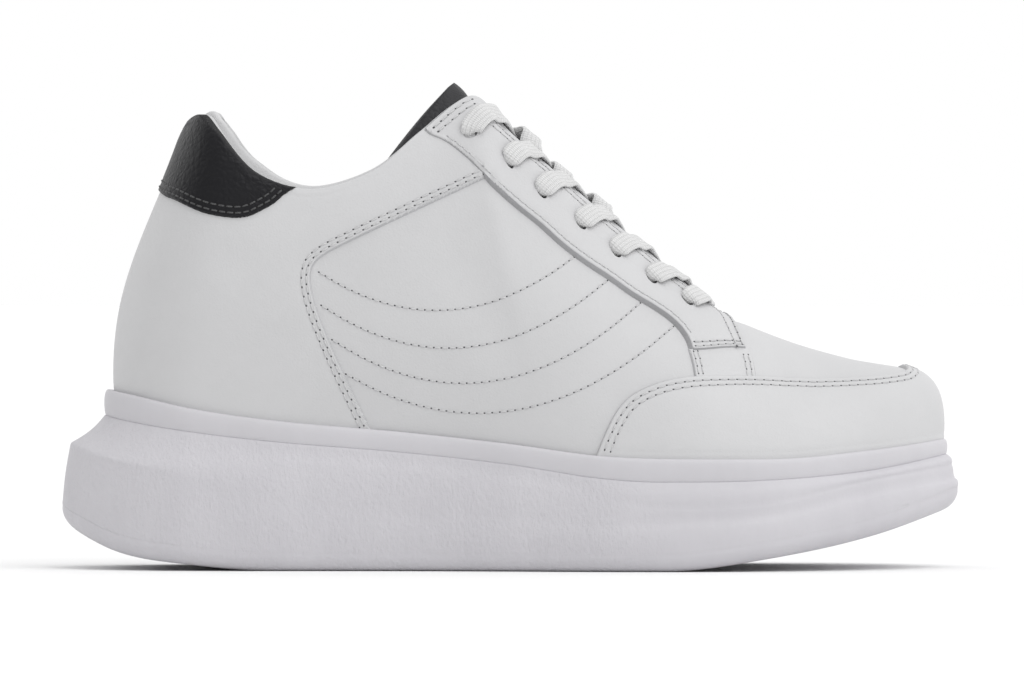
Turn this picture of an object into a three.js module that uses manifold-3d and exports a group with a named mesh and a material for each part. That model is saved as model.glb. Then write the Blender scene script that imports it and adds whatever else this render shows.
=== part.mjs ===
// Platform sneaker for the right foot: a thick rubber sole, a leather upper, a black heel tab and
// tongue, and flat laces.
//
// Millimetres. +X points to the toe, +Y to the inner side of the foot and +Z up. The origin lies
// on the ground, in the middle of the sole.
//
// Every piece follows one surface, the outside of the leather. Its first parameter, the station,
// runs round the shoe: 0 at the back of the heel, 15 at the tip of the toe along the outer side,
// and on to 30 at the heel again along the inner side. Its second parameter, the height, runs up
// a rib from 0 at the sole to 1 at the collar, the throat or the middle line of the vamp.

import * as THREE from 'three';
import { mergeVertices } from 'three/addons/utils/BufferGeometryUtils.js';
import Module from 'manifold-3d';

const wasm = await Module();
wasm.setup();

// ---------------------------------------------------------------- driving dimensions

const GAP = 0.3; // clearance between pieces that touch
const SEWN_GAP = 0.5; // clearance under leather that is sewn on a curved wall
const WALL = 2.2; // leather and lining of the upper
const OVERLAY = 1.3; // leather sewn on top of the upper
const TAB = 1.6; // heel tab leather, with its turned edge
const PAD = 5.5; // foam of the collar, at its thickest
const TONGUE = 4.5; // padded tongue
const TONGUE_DROP = 2.0; // room for the laces between tongue and upper
const OUTSOLE = 6.0; // wearing layer under the platform
const EDGE_ROUND = 5.0; // rounding of the sole's lower edge
const GROOVE = { width: 4.0, depth: 2.0, pitch: 15.0, border: 9.0 }; // cross grooves of the tread
const TREAD_END = { heel: -126.0, toe: 134.0, reach: 100.0 }; // where its grooves start and stop
const RIM_ROLL = [[-0.5, 0], [0.1, 0.3], [0.1, 0.72], [-0.7, 0.95]]; // out of line, share of height
const RIM_FOOT = 0.02; // where the rim's foot meets the leather, as a share of its height
const LACE = { width: 7.2, thick: 1.5, bevel: 0.7, rise: 0.6, lead: 0.14 }; // flat lace
const SWING = { start: -30, toe: 145, shift: 5 }; // the front of the last curves inwards

// Round the shoe. foot: where the rib stands on the sole. top: where it ends. rise and bulge lead
// the rib out of the foot, reach and fall lead it into the top.
const SECTION_COLUMNS = [
  'name', 'footX', 'outerY', 'innerY', 'topX', 'topY', 'topZ', 'rise', 'bulge', 'reach', 'fall',
];
const SECTIONS = [
  ['heel', -130.9, 0.0, 0.0, -106.7, 0.0, 149.8, 45, 3.3, 18, 50],
  ['heel corner', -125.8, 18.0, 18.0, -102.8, 14.5, 152.0, 42, 3.4, 14, 44],
  ['heel side', -110.0, 30.0, 29.5, -96.8, 25.0, 146.2, 37, 3.0, 9, 35],
  ['ankle', -85.0, 34.0, 33.0, -84.0, 29.5, 132.4, 28, 3.0, 5, 22],
  ['collar dip', -58.0, 35.5, 32.5, -66.5, 30.0, 127.2, 26, 3.5, 5, 22],
  ['collar rise', -32.0, 37.5, 33.0, -46.0, 27.0, 133.2, 26, 4.5, 8, 24],
  ['stay rear', -10.0, 41.0, 36.0, -30.0, 20.5, 146.2, 26, 5.0, 12, 24],
  ['throat top', 8.0, 44.5, 39.5, -12.6, 12.5, 158.8, 24, 5.0, 16, 18],
  ['throat high', 19.0, 47.0, 42.0, 2.0, 11.8, 145.2, 22, 4.5, 18, 15],
  ['throat middle', 36.0, 50.0, 46.0, 29.0, 10.8, 121.4, 19, 3.8, 20, 11],
  ['throat low', 59.0, 51.5, 48.8, 57.0, 9.3, 97.2, 17, 2.5, 20, 6],
  ['throat end', 81.0, 50.0, 48.6, 71.5, 0.0, 85.0, 15, 2.0, 24, 1],
  ['vamp', 103.0, 43.0, 45.0, 92.0, 0.0, 76.0, 15, 1.5, 26, 1],
  ['toe side', 124.0, 30.0, 36.0, 108.0, 0.0, 71.0, 17, 1.2, 26, 1],
  ['toe corner', 138.4, 14.5, 20.5, 115.0, 0.0, 69.2, 20, 1.0, 27, 1],
  ['toe', 144.0, 0.0, 0.0, 118.0, 0.0, 68.5, 21, 1.0, 27, 1],
];
const HALF = SECTIONS.length - 1;
const ROUND = 2 * HALF;
const VAMP = SECTIONS.findIndex((row) => row[0] === 'throat end');

// Heights of the sole along the shoe: top of the rolled rim, seat of the upper, the crease where
// the platform is widest, and its underside.
const LEVEL_COLUMNS = ['x', 'rim', 'seat', 'crease', 'ground'];
const LEVELS = [
  [-150, 62.0, 55.0, 42.6, 15.0],
  [-130, 59.0, 49.9, 36.4, 5.9],
  [-105, 53.6, 45.8, 32.6, 1.9],
  [-78, 49.8, 42.7, 30.2, 0.0],
  [-35, 46.0, 39.2, 27.5, 0.0],
  [0, 42.2, 35.3, 24.3, 0.0],
  [30, 38.3, 30.8, 19.8, 0.0],
  [50, 37.4, 29.6, 18.6, 0.0],
  [85, 37.2, 30.2, 20.4, 4.1],
  [120, 39.9, 33.2, 27.9, 11.3],
  [150, 43.8, 38.8, 32.6, 21.0],
];

// How far the sole stands out of the upper's foot: the rim, the crease and the lower edge.
const SOLE_COLUMNS = ['station', 'rim', 'crease', 'base'];
const SOLE = [
  [0, 4.7, 16.1, 18.9],
  [1, 4.1, 13.5, 16.2],
  [2, 3.9, 10.6, 12.8],
  [3, 3.7, 8.6, 10.4],
  [5, 3.5, 6.8, 8.2],
  [9, 3.4, 6.0, 7.4],
  [12, 3.2, 5.6, 6.8],
  [15, 2.4, 5.0, 6.1],
];

// Thickness of the wedge footbed, which lifts the heel.
const INSOLE_COLUMNS = ['x', 'thick'];
const INSOLE = [
  [-132, 31],
  [-105, 30],
  [-60, 22],
  [-15, 11],
  [30, 5],
  [60, 4],
  [145, 4],
];

// Lower edge of the heel tab and upper edge of the toe rand, as heights above the ground.
const TAB_COLUMNS = ['station', 'z'];
const TAB_EDGE = [
  [0, 126.4],
  [1, 124.2],
  [2, 119.6],
  [2.8, 116.6],
  [3.2, 119.2],
  [3.5, 123.4],
  [3.7, 126.4],
];
const RAND_COLUMNS = ['station', 'z'];
const RAND_EDGE = [
  [8.72, 42.0],
  [8.85, 49.0],
  [9.1, 56.4],
  [9.5, 61.2],
  [10, 63.6],
  [11, 64.2],
  [12, 63.6],
  [13, 64.0],
  [14, 65.2],
  [15, 66.0],
];

// The eyestay from its top end to the middle of its front bar: the station on the throat edge
// across from each point of its outer edge, which is given as seen from the side.
const STAY = [
  [7.0, -29.2, 145.8],
  [7.06, -24.6, 142.9],
  [7.15, -18.6, 140.0],
  [7.4, -8.4, 130.3],
  [7.9, 6.0, 115.4],
  [8.5, 20.7, 104.6],
  [9.1, 36.0, 93.6],
  [9.7, 49.0, 86.4],
  [10.2, 56.6, 80.6],
  [10.4, 59.8, 72.7],
  [10.55, 61.1, 65.4],
  [10.7, 71.4, 65.8],
  [10.85, 81.2, 66.4],
  [10.93, 79.4, 70.8],
  [10.97, 77.9, 75.6],
  [11.0, 76.6, 79.4],
  [11.0, 76.1, 81.8],
];
const STAY_BAR = { x: 76.0, z: 82.8 }; // where the front bar crosses the middle line

const BAR_SHIFT = 0.1; // the straight bar lies this many stations in front of its eyelets
const EYELETS = [
  [-13.1, 145.2],
  [-1.1, 135.4],
  [9.8, 125.2],
  [22.9, 114.7],
  [34.5, 105.3],
  [46.5, 96.5],
  [58.4, 89.0],
];

// Top edge of the tongue: the middle of its outer face, and how far its sides fall back.
const TONGUE_TOP = { x: -19.2, z: 162.8, backX: -38.4, backZ: 140.6, half: 16.5 };
const TONGUE_FRONT = 11.6; // station of its sewn end, under the vamp

// ---------------------------------------------------------------- tables and curves

/** One column of a table. */
function column(rows, names, name) {
  return rows.map((row) => row[names.indexOf(name)]);
}

/** A slope that never lets the curve swing past its own points. */
function easedSlope(before, after) {
  if (before * after <= 0) return 0;
  const limit = 3 * Math.min(Math.abs(before), Math.abs(after));
  return Math.sign(before) * Math.min(Math.abs(before + after) / 2, limit);
}

/** Hermite blend between two values. */
function hermite(a, slopeA, b, slopeB, f) {
  const f2 = f * f;
  const f3 = f2 * f;
  const value = (2 * f3 - 3 * f2 + 1) * a + (3 * f2 - 2 * f3) * b;
  return value + (f3 - 2 * f2 + f) * slopeA + (f3 - f2) * slopeB;
}

/** A value that runs round the shoe, from one value for each station. */
function around(values) {
  return (station) => {
    const n = values.length;
    const u = ((station % n) + n) % n;
    const i = Math.floor(u) % n;
    const [a, b, c, d] = [-1, 0, 1, 2].map((k) => values[(i + k + n) % n]);
    return hermite(b, easedSlope(b - a, c - b), c, easedSlope(c - b, d - c), u - Math.floor(u));
  };
}

/** A value looked up in a table whose first column grows from row to row. */
function along(rows, names, name) {
  const at = column(rows, names, names[0]);
  const values = column(rows, names, name);
  const last = at.length - 1;
  const steep = (k) => (values[k + 1] - values[k]) / (at[k + 1] - at[k]);
  const slope = (k) => {
    if (k === 0 || k === last) return steep(Math.min(k, last - 1));
    return easedSlope(steep(k - 1), steep(k));
  };
  return (wanted) => {
    const x = Math.min(Math.max(wanted, at[0]), at[last]);
    let k = 0;
    while (k < last - 1 && x > at[k + 1]) k += 1;
    const span = at[k + 1] - at[k];
    return hermite(values[k], slope(k) * span, values[k + 1], slope(k + 1) * span, (x - at[k]) / span);
  };
}

/** A table by station, mirrored from the outer side to the inner side. */
function byStation(rows, names, name) {
  const find = along(rows, names, name);
  return (station) => {
    const u = ((station % ROUND) + ROUND) % ROUND;
    return find(u > HALF ? ROUND - u : u);
  };
}

/** A section column as a loop round the shoe. The inner side may use a column of its own. */
function loopOf(outer, inner = outer, sign = 1) {
  const there = column(SECTIONS, SECTION_COLUMNS, outer);
  const back = column(SECTIONS, SECTION_COLUMNS, inner);
  return around([...there.map((v) => sign * v), ...back.slice(1, HALF).reverse()]);
}

const rib = {
  footX: loopOf('footX'),
  footY: loopOf('outerY', 'innerY', -1),
  topX: loopOf('topX'),
  topY: loopOf('topY', 'topY', -1),
  topZ: loopOf('topZ'),
  rise: loopOf('rise'),
  bulge: loopOf('bulge'),
  reach: loopOf('reach'),
  fall: loopOf('fall'),
};
const level = Object.fromEntries(
  LEVEL_COLUMNS.slice(1).map((name) => [name, along(LEVELS, LEVEL_COLUMNS, name)]),
);
const sole = Object.fromEntries(
  SOLE_COLUMNS.slice(1).map((name) => [name, byStation(SOLE, SOLE_COLUMNS, name)]),
);

/** How far the last curves inwards at x. */
function swing(x) {
  const s = Math.min(Math.max((x - SWING.start) / (SWING.toe - SWING.start), 0), 1.1);
  return SWING.shift * s * s;
}

/** Direction that points out of the shoe at a station, level with the ground. */
function outward(station) {
  const step = 0.02;
  const dx = rib.footX(station + step) - rib.footX(station - step);
  const dy = rib.footY(station + step) - rib.footY(station - step);
  return new THREE.Vector3(dy, -dx, 0).normalize();
}

/** The foot line of the upper in plan, moved outwards. The height is left at zero. */
function plan(station, out) {
  const n = outward(station);
  const x = rib.footX(station) + n.x * out;
  return new THREE.Vector3(x, rib.footY(station) + n.y * out + swing(x), 0);
}

/** The outside of the upper. */
function surface(station, height) {
  const n = outward(station);
  const foot = new THREE.Vector3(rib.footX(station), rib.footY(station), 0);
  foot.z = level.seat(foot.x) + GAP;
  const top = new THREE.Vector3(rib.topX(station), rib.topY(station), rib.topZ(station));
  const low = foot.clone().addScaledVector(n, rib.bulge(station));
  low.z += rib.rise(station);
  const high = top.clone().addScaledVector(n, rib.reach(station));
  high.z -= rib.fall(station);
  const t = height;
  const s = 1 - t;
  const p = new THREE.Vector3();
  p.addScaledVector(foot, s * s * s).addScaledVector(low, 3 * s * s * t);
  p.addScaledVector(high, 3 * s * t * t).addScaledVector(top, t * t * t);
  p.y += swing(p.x);
  return p;
}

/** Direction out of the leather, from its slopes along the shoe and up the rib. */
function slopeNormal(station, height) {
  const step = 0.002;
  const lengthways = surface(station + step, height).sub(surface(station - step, height));
  const upwards = surface(station, height + step).sub(surface(station, height - step));
  return lengthways.cross(upwards).normalize();
}

/** Direction out of the leather. Both sides share one on the middle line of the vamp. */
function normal(station, height) {
  const own = slopeNormal(station, height);
  const isMiddle = height > 0.999 && Math.abs(rib.topY(station)) < 1e-6;
  return isMiddle ? own.add(slopeNormal(ROUND - station, height)).normalize() : own;
}

/** A point above (out > 0) or below the leather's outside. */
function skin(station, height, out) {
  return surface(station, height).addScaledVector(normal(station, height), out);
}

/** The height parameter at which a rib reaches z. */
function heightAt(station, z) {
  let low = 0;
  let high = 1;
  for (let k = 0; k < 30; k += 1) {
    const middle = (low + high) / 2;
    if (surface(station, middle).z < z) low = middle;
    else high = middle;
  }
  return (low + high) / 2;
}

/** The station and height of a point of the outer side, given as it is seen from that side. */
function onSide(x, z) {
  let best = { station: 1, height: 0.5, miss: Infinity };
  const missOf = (station, height) => {
    const p = surface(station, height);
    return Math.hypot(p.x - x, p.z - z);
  };
  for (let station = 1; station <= HALF - 1; station += 0.5) {
    for (let height = 0.05; height <= 1; height += 0.05) {
      const miss = missOf(station, height);
      if (miss < best.miss) best = { station, height, miss };
    }
  }
  for (let reach = 0.25; reach > 0.001; reach *= 0.7) {
    const near = best;
    for (const [du, dt] of [[1, 0], [-1, 0], [0, 0.2], [0, -0.2]]) {
      const station = near.station + du * reach;
      const height = Math.min(near.height + dt * reach, 1);
      const miss = missOf(station, height);
      if (miss < best.miss) best = { station, height, miss };
    }
  }
  return best;
}

// ---------------------------------------------------------------- closed bodies

/** Closed geometry from points and faces, with its faces turned outwards. */
function bodyFrom(points, faces) {
  const geometry = new THREE.BufferGeometry();
  const numbers = points.flatMap((p) => [p.x, p.y, p.z]);
  geometry.setAttribute('position', new THREE.Float32BufferAttribute(numbers, 3));
  geometry.setIndex(faces.flat());
  const welded = mergeVertices(geometry, 1e-3);
  const index = Array.from(welded.index.array);
  const at = (k) => new THREE.Vector3().fromBufferAttribute(welded.attributes.position, k);
  const kept = [];
  let volume = 0;
  for (let k = 0; k < index.length; k += 3) {
    const [a, b, c] = index.slice(k, k + 3);
    if (a === b || b === c || c === a) continue;
    kept.push([a, b, c]);
    volume += at(a).dot(at(b).cross(at(c)));
  }
  welded.setIndex(kept.map(([a, b, c]) => (volume < 0 ? [a, c, b] : [a, b, c])).flat());
  return welded;
}

/** Adds the faces of a grid of vertex numbers. */
function addGrid(faces, grid, flip = false) {
  for (let i = 0; i + 1 < grid.length; i += 1) {
    for (let j = 0; j + 1 < grid[i].length; j += 1) {
      const [a, b, c, d] = [grid[i][j], grid[i + 1][j], grid[i + 1][j + 1], grid[i][j + 1]];
      if (flip) faces.push([a, c, b], [a, d, c]);
      else faces.push([a, b, c], [a, c, d]);
    }
  }
}

/** Numbers the points of a grid as they join the list. */
function numbered(points, grid) {
  return grid.map((row) => row.map((p) => points.push(p) - 1));
}

/** A sheet with two faces and an edge all round. */
function sheetBody(outer, inner) {
  const points = [];
  const faces = [];
  const a = numbered(points, outer);
  const b = numbered(points, inner);
  const last = a[0].length - 1;
  addGrid(faces, a);
  addGrid(faces, b, true);
  addGrid(faces, [b[0], a[0]]);
  addGrid(faces, [a[a.length - 1], b[b.length - 1]]);
  addGrid(faces, [a.map((row) => row[0]), b.map((row) => row[0])]);
  addGrid(faces, [b.map((row) => row[last]), a.map((row) => row[last])]);
  return bodyFrom(points, faces);
}

/** A sheet's inner face, found by going in from each point of its outer face. */
function insideOf(grid, thick, turn) {
  const clampedAt = (i, j) => {
    const row = grid[Math.min(Math.max(i, 0), grid.length - 1)];
    return row[Math.min(Math.max(j, 0), row.length - 1)];
  };
  return grid.map((row, i) => row.map((p, j) => {
    const down = clampedAt(i + 1, j).clone().sub(clampedAt(i - 1, j));
    const across = clampedAt(i, j + 1).clone().sub(clampedAt(i, j - 1));
    return p.clone().addScaledVector(down.cross(across).normalize(), turn * thick);
  }));
}

/** A bar through a row of closed sections, closed by a flat face at each end or by its own start. */
function barBody(sections, isLoop = false) {
  const points = [];
  const faces = [];
  const rows = numbered(points, sections);
  const around = rows.map((row) => [...row, row[0]]);
  addGrid(faces, isLoop ? [...around, around[0]] : around);
  if (!isLoop) {
    for (const [row, flip] of [[rows[0], false], [rows[rows.length - 1], true]]) {
      for (let k = 1; k + 1 < row.length; k += 1) {
        faces.push(flip ? [row[0], row[k + 1], row[k]] : [row[0], row[k], row[k + 1]]);
      }
    }
  }
  return bodyFrom(points, faces);
}

/** A plate: rings from its top edge to its bottom edge, and a height for each face in between. */
function plateBody(rings, topZ, bottomZ) {
  const across = 4;
  const points = [];
  const faces = [];
  const walls = numbered(points, rings);
  addGrid(faces, walls.map((row) => [...row, row[0]]));
  for (const [ring, row, height, flip] of [
    [rings[0], walls[0], topZ, false],
    [rings[rings.length - 1], walls[walls.length - 1], bottomZ, true],
  ]) {
    const n = ring.length;
    const cap = [];
    for (let i = 0; i <= n / 2; i += 1) {
      const partner = (n - i) % n;
      const line = [row[i]];
      for (let k = 1; k < across; k += 1) {
        const p = ring[i].clone().lerp(ring[partner], k / across);
        if (i > 0 && i < n / 2) p.z = height(p.x);
        line.push(points.push(p) - 1);
      }
      line.push(row[partner]);
      cap.push(line);
    }
    addGrid(faces, cap, flip);
  }
  return bodyFrom(points, faces);
}

/** A closed geometry as a solid that can be joined and cut. */
function toSolid(geometry) {
  const vertProperties = new Float32Array(geometry.attributes.position.array);
  const triVerts = new Uint32Array(geometry.index.array);
  return new wasm.Manifold(new wasm.Mesh({ numProp: 3, vertProperties, triVerts }));
}

/** A joined or cut solid as geometry. */
function toGeometry(solid) {
  const mesh = solid.getMesh();
  const geometry = new THREE.BufferGeometry();
  geometry.setAttribute('position', new THREE.Float32BufferAttribute(mesh.vertProperties, 3));
  geometry.setIndex(Array.from(mesh.triVerts));
  return geometry;
}

/** Evenly spaced numbers from first to last, both included. */
function spread(first, last, count) {
  return Array.from({ length: count + 1 }, (_, k) => first + ((last - first) * k) / count);
}

// ---------------------------------------------------------------- sole

const STATIONS = spread(0, ROUND, 68).slice(0, -1);

/** A ring round the sole, from how far out it lies and how high it is at each x. */
function ring(out, height) {
  return STATIONS.map((station) => {
    const p = plan(station, out(station));
    p.z = height(p.x);
    return p;
  });
}

/** The platform: a ledge for the rim, a hollow slope down to the crease and a flaring wall. */
function midsole() {
  const between = (f) => (u) => sole.rim(u) + f * (sole.crease(u) - sole.rim(u));
  const slope = (f) => (x) => level.crease(x) + f * (level.seat(x) - level.crease(x));
  const parting = (x) => level.ground(x) + OUTSOLE;
  const rings = [
    ring(between(0), level.seat),
    ring(between(0.3), slope(0.52)),
    ring(between(0.66), slope(0.18)),
    ring(between(1), level.crease),
    ring(sole.base, parting),
  ];
  return plateBody(rings, level.seat, parting);
}

/** The wearing layer, with a rounded lower edge and cross grooves inside a plain border. */
function outsole() {
  const top = (x) => level.ground(x) + OUTSOLE - GAP;
  const rounded = (degrees) => {
    const a = THREE.MathUtils.degToRad(degrees);
    const out = (u) => sole.base(u) - EDGE_ROUND * (1 - Math.cos(a));
    return ring(out, (x) => level.ground(x) + EDGE_ROUND * (1 - Math.sin(a)));
  };
  const body = plateBody([ring(sole.base, top), ...[0, 35, 65, 90].map(rounded)], top, level.ground);
  const inside = (u) => sole.base(u) - GROOVE.border;
  const deep = (x) => level.ground(x) + GROOVE.depth;
  const under = (x) => level.ground(x) - GROOVE.depth;
  const field = toSolid(plateBody([ring(inside, deep), ring(inside, under)], deep, under));
  let solid = toSolid(body);
  for (let x = TREAD_END.heel; x < TREAD_END.toe; x += GROOVE.pitch) {
    const bar = new THREE.BoxGeometry(GROOVE.width, 2 * TREAD_END.reach, TREAD_END.reach);
    bar.deleteAttribute('normal');
    bar.deleteAttribute('uv');
    bar.translate(x, 0, 0);
    solid = solid.subtract(toSolid(mergeVertices(bar)).intersect(field));
  }
  return toGeometry(solid);
}

/** The rolled rim that grips the foot of the upper. */
function foxingBand() {
  const sections = STATIONS.map((station) => {
    const at = (out, rise) => {
      const p = plan(station, out);
      p.z = level.seat(p.x) + GAP + rise * (level.rim(p.x) - level.seat(p.x) - GAP);
      return p;
    };
    const held = (rise) => {
      const foot = plan(station, 0);
      const z = level.seat(foot.x) + GAP + rise * (level.rim(foot.x) - level.seat(foot.x) - GAP);
      return skin(station, heightAt(station, z), GAP);
    };
    const out = sole.rim(station);
    const roll = RIM_ROLL.map(([shift, rise]) => at(out + shift, rise));
    return [held(RIM_FOOT), ...roll, held(1), held(0.5)];
  });
  return barBody(sections, true);
}

// ---------------------------------------------------------------- inside of the shoe

/** The wedge footbed. Its sides follow the inside of the upper. */
function insole() {
  const thick = along(INSOLE, INSOLE_COLUMNS, 'thick');
  const bedZ = (x) => level.seat(x) + thick(x);
  const floorZ = (x) => level.seat(x) + GAP;
  const inset = WALL + GAP + 0.3;
  const edge = (height) => STATIONS.map((station) => {
    const p = skin(station, heightAt(station, height(rib.footX(station))), -inset);
    p.z = height(p.x);
    return p;
  });
  return plateBody([edge(bedZ), edge(floorZ)], bedZ, floorZ);
}

/** A strap across the throat from rib to rib. A longer lead follows the ribs further. */
function arch(station, height, out, lead = 0.36) {
  const step = 0.01;
  const a = skin(station, height, out);
  const b = skin(ROUND - station, height, out);
  const width = a.distanceTo(b);
  const follow = (side, from) => {
    const rising = skin(side, height, out).sub(skin(side, height - step, out)).normalize();
    return from.clone().addScaledVector(rising, lead * width);
  };
  return new THREE.CubicBezierCurve3(a, follow(station, a), follow(ROUND - station, b), b);
}

/** The padded tongue: sewn under the vamp, run under the throat and standing above the collar. */
function tongue() {
  const out = -(WALL + TONGUE_DROP);
  const leave = 0.86; // height where it leaves the upper
  const edgeHeight = (station) => 0.64 + 0.06 * Math.max(0, 8 - station);
  const sectionAt = (station) => {
    const low = edgeHeight(station);
    const rise = spread(low, leave, 4).slice(0, -1);
    const bridge = arch(station, leave, out);
    return [
      ...rise.map((t) => skin(station, t, out)),
      ...spread(0, 1, 8).map((w) => bridge.getPoint(w)),
      ...rise.reverse().map((t) => skin(ROUND - station, t, out)),
    ];
  };
  const sewn = spread(TONGUE_FRONT, 7.2, 11).map(sectionAt);
  const throat = sewn[sewn.length - 1];
  const topAt = (k) => {
    const a = (k / (throat.length - 1) - 0.5) * Math.PI;
    const back = 1 - Math.cos(a);
    return new THREE.Vector3(
      TONGUE_TOP.x + (TONGUE_TOP.backX - TONGUE_TOP.x) * back,
      TONGUE_TOP.half * Math.sin(a),
      TONGUE_TOP.z + (TONGUE_TOP.backZ - TONGUE_TOP.z) * back,
    );
  };
  const free = spread(0, 1, 3).slice(1).map((f) => throat.map((p, k) => p.clone().lerp(topAt(k), f)));
  const outer = [...sewn, ...free];
  return sheetBody(outer, insideOf(outer, TONGUE, 1));
}

/** The foam roll inside the collar, which stands a little above the leather. */
function collarPad() {
  const end = 5.15;
  const sections = spread(-end, end, 28).map((station) => {
    const fade = Math.min(1, (end - Math.abs(station)) / 1.6);
    const foam = PAD * (0.45 + 0.55 * fade);
    const start = WALL + GAP;
    const roll = 0.022 + 0.022 * fade;
    return [
      skin(station, 0.76, -start),
      skin(station, 0.88, -start),
      skin(station, 1.0, -start),
      skin(station, 1.0 + roll, -start - 0.25 * foam),
      skin(station, 1.0 + roll, -start - 0.6 * foam),
      skin(station, 0.985, -start - 0.95 * foam),
      skin(station, 0.93, -start - foam),
      skin(station, 0.85, -start - 0.75 * foam),
    ];
  });
  return barBody(sections);
}

// ---------------------------------------------------------------- upper and what is sewn to it

/** The upper: one hollow wall, open at the collar, along the throat and underneath. */
function upper() {
  const heights = spread(0, 1, 9);
  const points = [];
  const faces = [];
  const wallOf = (out) => numbered(points, STATIONS.map((u) => heights.map((t) => skin(u, t, out))));
  const outer = wallOf(0);
  const inner = wallOf(-WALL);
  outer.push(outer[0]);
  inner.push(inner[0]);
  addGrid(faces, outer);
  addGrid(faces, inner, true);
  const last = heights.length - 1;
  for (let i = 0; i < STATIONS.length; i += 1) {
    const middle = (STATIONS[i] + STATIONS[1] / 2) % ROUND;
    addGrid(faces, [[outer[i][0], inner[i][0]], [outer[i + 1][0], inner[i + 1][0]]], true);
    const isVamp = middle > VAMP && middle < ROUND - VAMP;
    const rim = [i, i + 1].map((k) => [outer[k][last], inner[k][last]]);
    if (!isVamp) addGrid(faces, rim);
  }
  return bodyFrom(points, faces);
}

/** A piece sewn on the leather, from a grid of stations and heights. */
function overlay(places, thick) {
  const face = (out) => places.map((row) => row.map(([station, height]) => skin(station, height, out)));
  return sheetBody(face(SEWN_GAP + thick), face(SEWN_GAP));
}

/** The black tab round the back of the collar. */
function heelTab() {
  const end = TAB_EDGE[TAB_EDGE.length - 1][0];
  const lowZ = along(TAB_EDGE, TAB_COLUMNS, 'z');
  const places = spread(-end, end, 22).map((station) => {
    const low = heightAt(station, lowZ(Math.abs(station)));
    return spread(low, 1, 3).map((height) => [station, height]);
  });
  return overlay(places, TAB);
}

/** The rand round the toe, from the rolled rim up to its sewn edge. */
function toeRand() {
  const first = RAND_EDGE[0][0];
  const highZ = byStation(RAND_EDGE, RAND_COLUMNS, 'z');
  const places = spread(first, ROUND - first, 36).map((station) => {
    const foot = plan(station, 0);
    const low = heightAt(station, level.rim(foot.x) + 2 * GAP);
    return spread(low, heightAt(station, highZ(station)), 4).map((height) => [station, height]);
  });
  return overlay(places, OVERLAY);
}

/** The eyestay: a leg on each side of the throat and a bar across its lower end. */
function eyestay() {
  const across = 6;
  const edge = STAY.map(([, x, z]) => onSide(x, z));
  const leg = STAY.map(([throat], k) => {
    const { station, height } = edge[k];
    const inner = [throat, 1];
    return spread(0, 1, across).map((f) => [
      station + f * (inner[0] - station),
      height + f * (inner[1] - height),
    ]);
  });
  const bar = onSide(STAY_BAR.x, STAY_BAR.z).station;
  leg.push(spread(0, 1, across).map((f) => [bar + f * (VAMP - bar), 1]));
  const mirrored = leg.slice(0, -1).reverse().map((row) => row.map(([u, t]) => [ROUND - u, t]));
  return overlay([...leg, ...mirrored], OVERLAY);
}

// ---------------------------------------------------------------- laces

/** An eyelet on the leather, and the station of the throat edge nearest to it. */
function eyelet(k) {
  const place = onSide(...EYELETS[k]);
  const centre = surface(place.station, place.height);
  const edges = spread(HALF / 2, VAMP, 80);
  const distance = (station) => surface(station, 1).distanceTo(centre);
  const edge = edges.reduce((best, station) => (distance(station) < distance(best) ? station : best));
  return { ...place, edge };
}

/**
 * A strand over the tongue, from the eyelet on one side towards the eyelet on the other. The throat
 * edges are at -1 and 1 of its run, and the eyelets 0.45 beyond them. Side -1 starts on the outer
 * side of the shoe.
 */
function strand(from, to, side, end, dips) {
  const beyond = 0.45;
  const step = 0.02;
  const over = SEWN_GAP + OVERLAY + LACE.rise + LACE.thick / 2;
  const under = 1.9;
  const place = (across, shift = 0) => {
    const f = THREE.MathUtils.clamp((across + 1) / 2, 0, 1);
    const edge = from.edge + (to.edge - from.edge) * f + shift;
    if (Math.abs(across) <= 1) return arch(edge, 1, 0, LACE.lead).getPoint((1 - side * across) / 2);
    const hole = across < 0 ? from : to;
    const down = (Math.abs(across) - 1) / beyond;
    const station = edge + down * (hole.station - hole.edge);
    const isOuter = side * across > 0;
    return surface(isOuter ? station : ROUND - station, 1 + down * (hole.height - 1));
  };
  const sections = spread(-1 - beyond, end, 9).map((across) => {
    const p = place(across);
    const forwards = place(across + step).sub(place(across - step)).normalize();
    const lengthways = place(across, step).sub(place(across, -step));
    const up = forwards.clone().cross(lengthways).normalize();
    if (up.z < 0) up.negate();
    const wide = up.clone().cross(forwards).normalize();
    const dip = dips ? THREE.MathUtils.smoothstep(across, -0.1, 0.75) : 0;
    p.addScaledVector(up, over - dip * (over + under));
    const half = LACE.width / 2;
    const flat = half - LACE.bevel;
    const thin = LACE.thick / 2;
    return [[-half, 0], [-flat, thin], [flat, thin], [half, 0], [flat, -thin], [-flat, -thin]].map(
      ([w, h]) => p.clone().addScaledVector(wide, w).addScaledVector(up, h),
    );
  });
  return toSolid(barBody(sections));
}

/** The crossed strands between two pairs of eyelets, or the straight bar at the last pair. */
function lace(k) {
  const here = eyelet(k);
  if (k === EYELETS.length - 1) {
    here.edge += BAR_SHIFT;
    return toGeometry(strand(here, here, -1, 1.45, false));
  }
  const next = eyelet(k + 1);
  return toGeometry(strand(here, next, -1, 0.6, true).add(strand(here, next, 1, 0.6, true)));
}

// ---------------------------------------------------------------- assembly

const FINISH = {
  rubber: { color: 0xd6d4da, roughness: 0.62, metalness: 0 },
  tread: { color: 0xcfcdd3, roughness: 0.75, metalness: 0 },
  leather: { color: 0xe2e2e4, roughness: 0.5, metalness: 0 },
  black: { color: 0x242527, roughness: 0.45, metalness: 0 },
  lining: { color: 0xe8e8ea, roughness: 0.9, metalness: 0 },
  lace: { color: 0xececee, roughness: 0.85, metalness: 0 },
};

const group = new THREE.Group();

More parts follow.
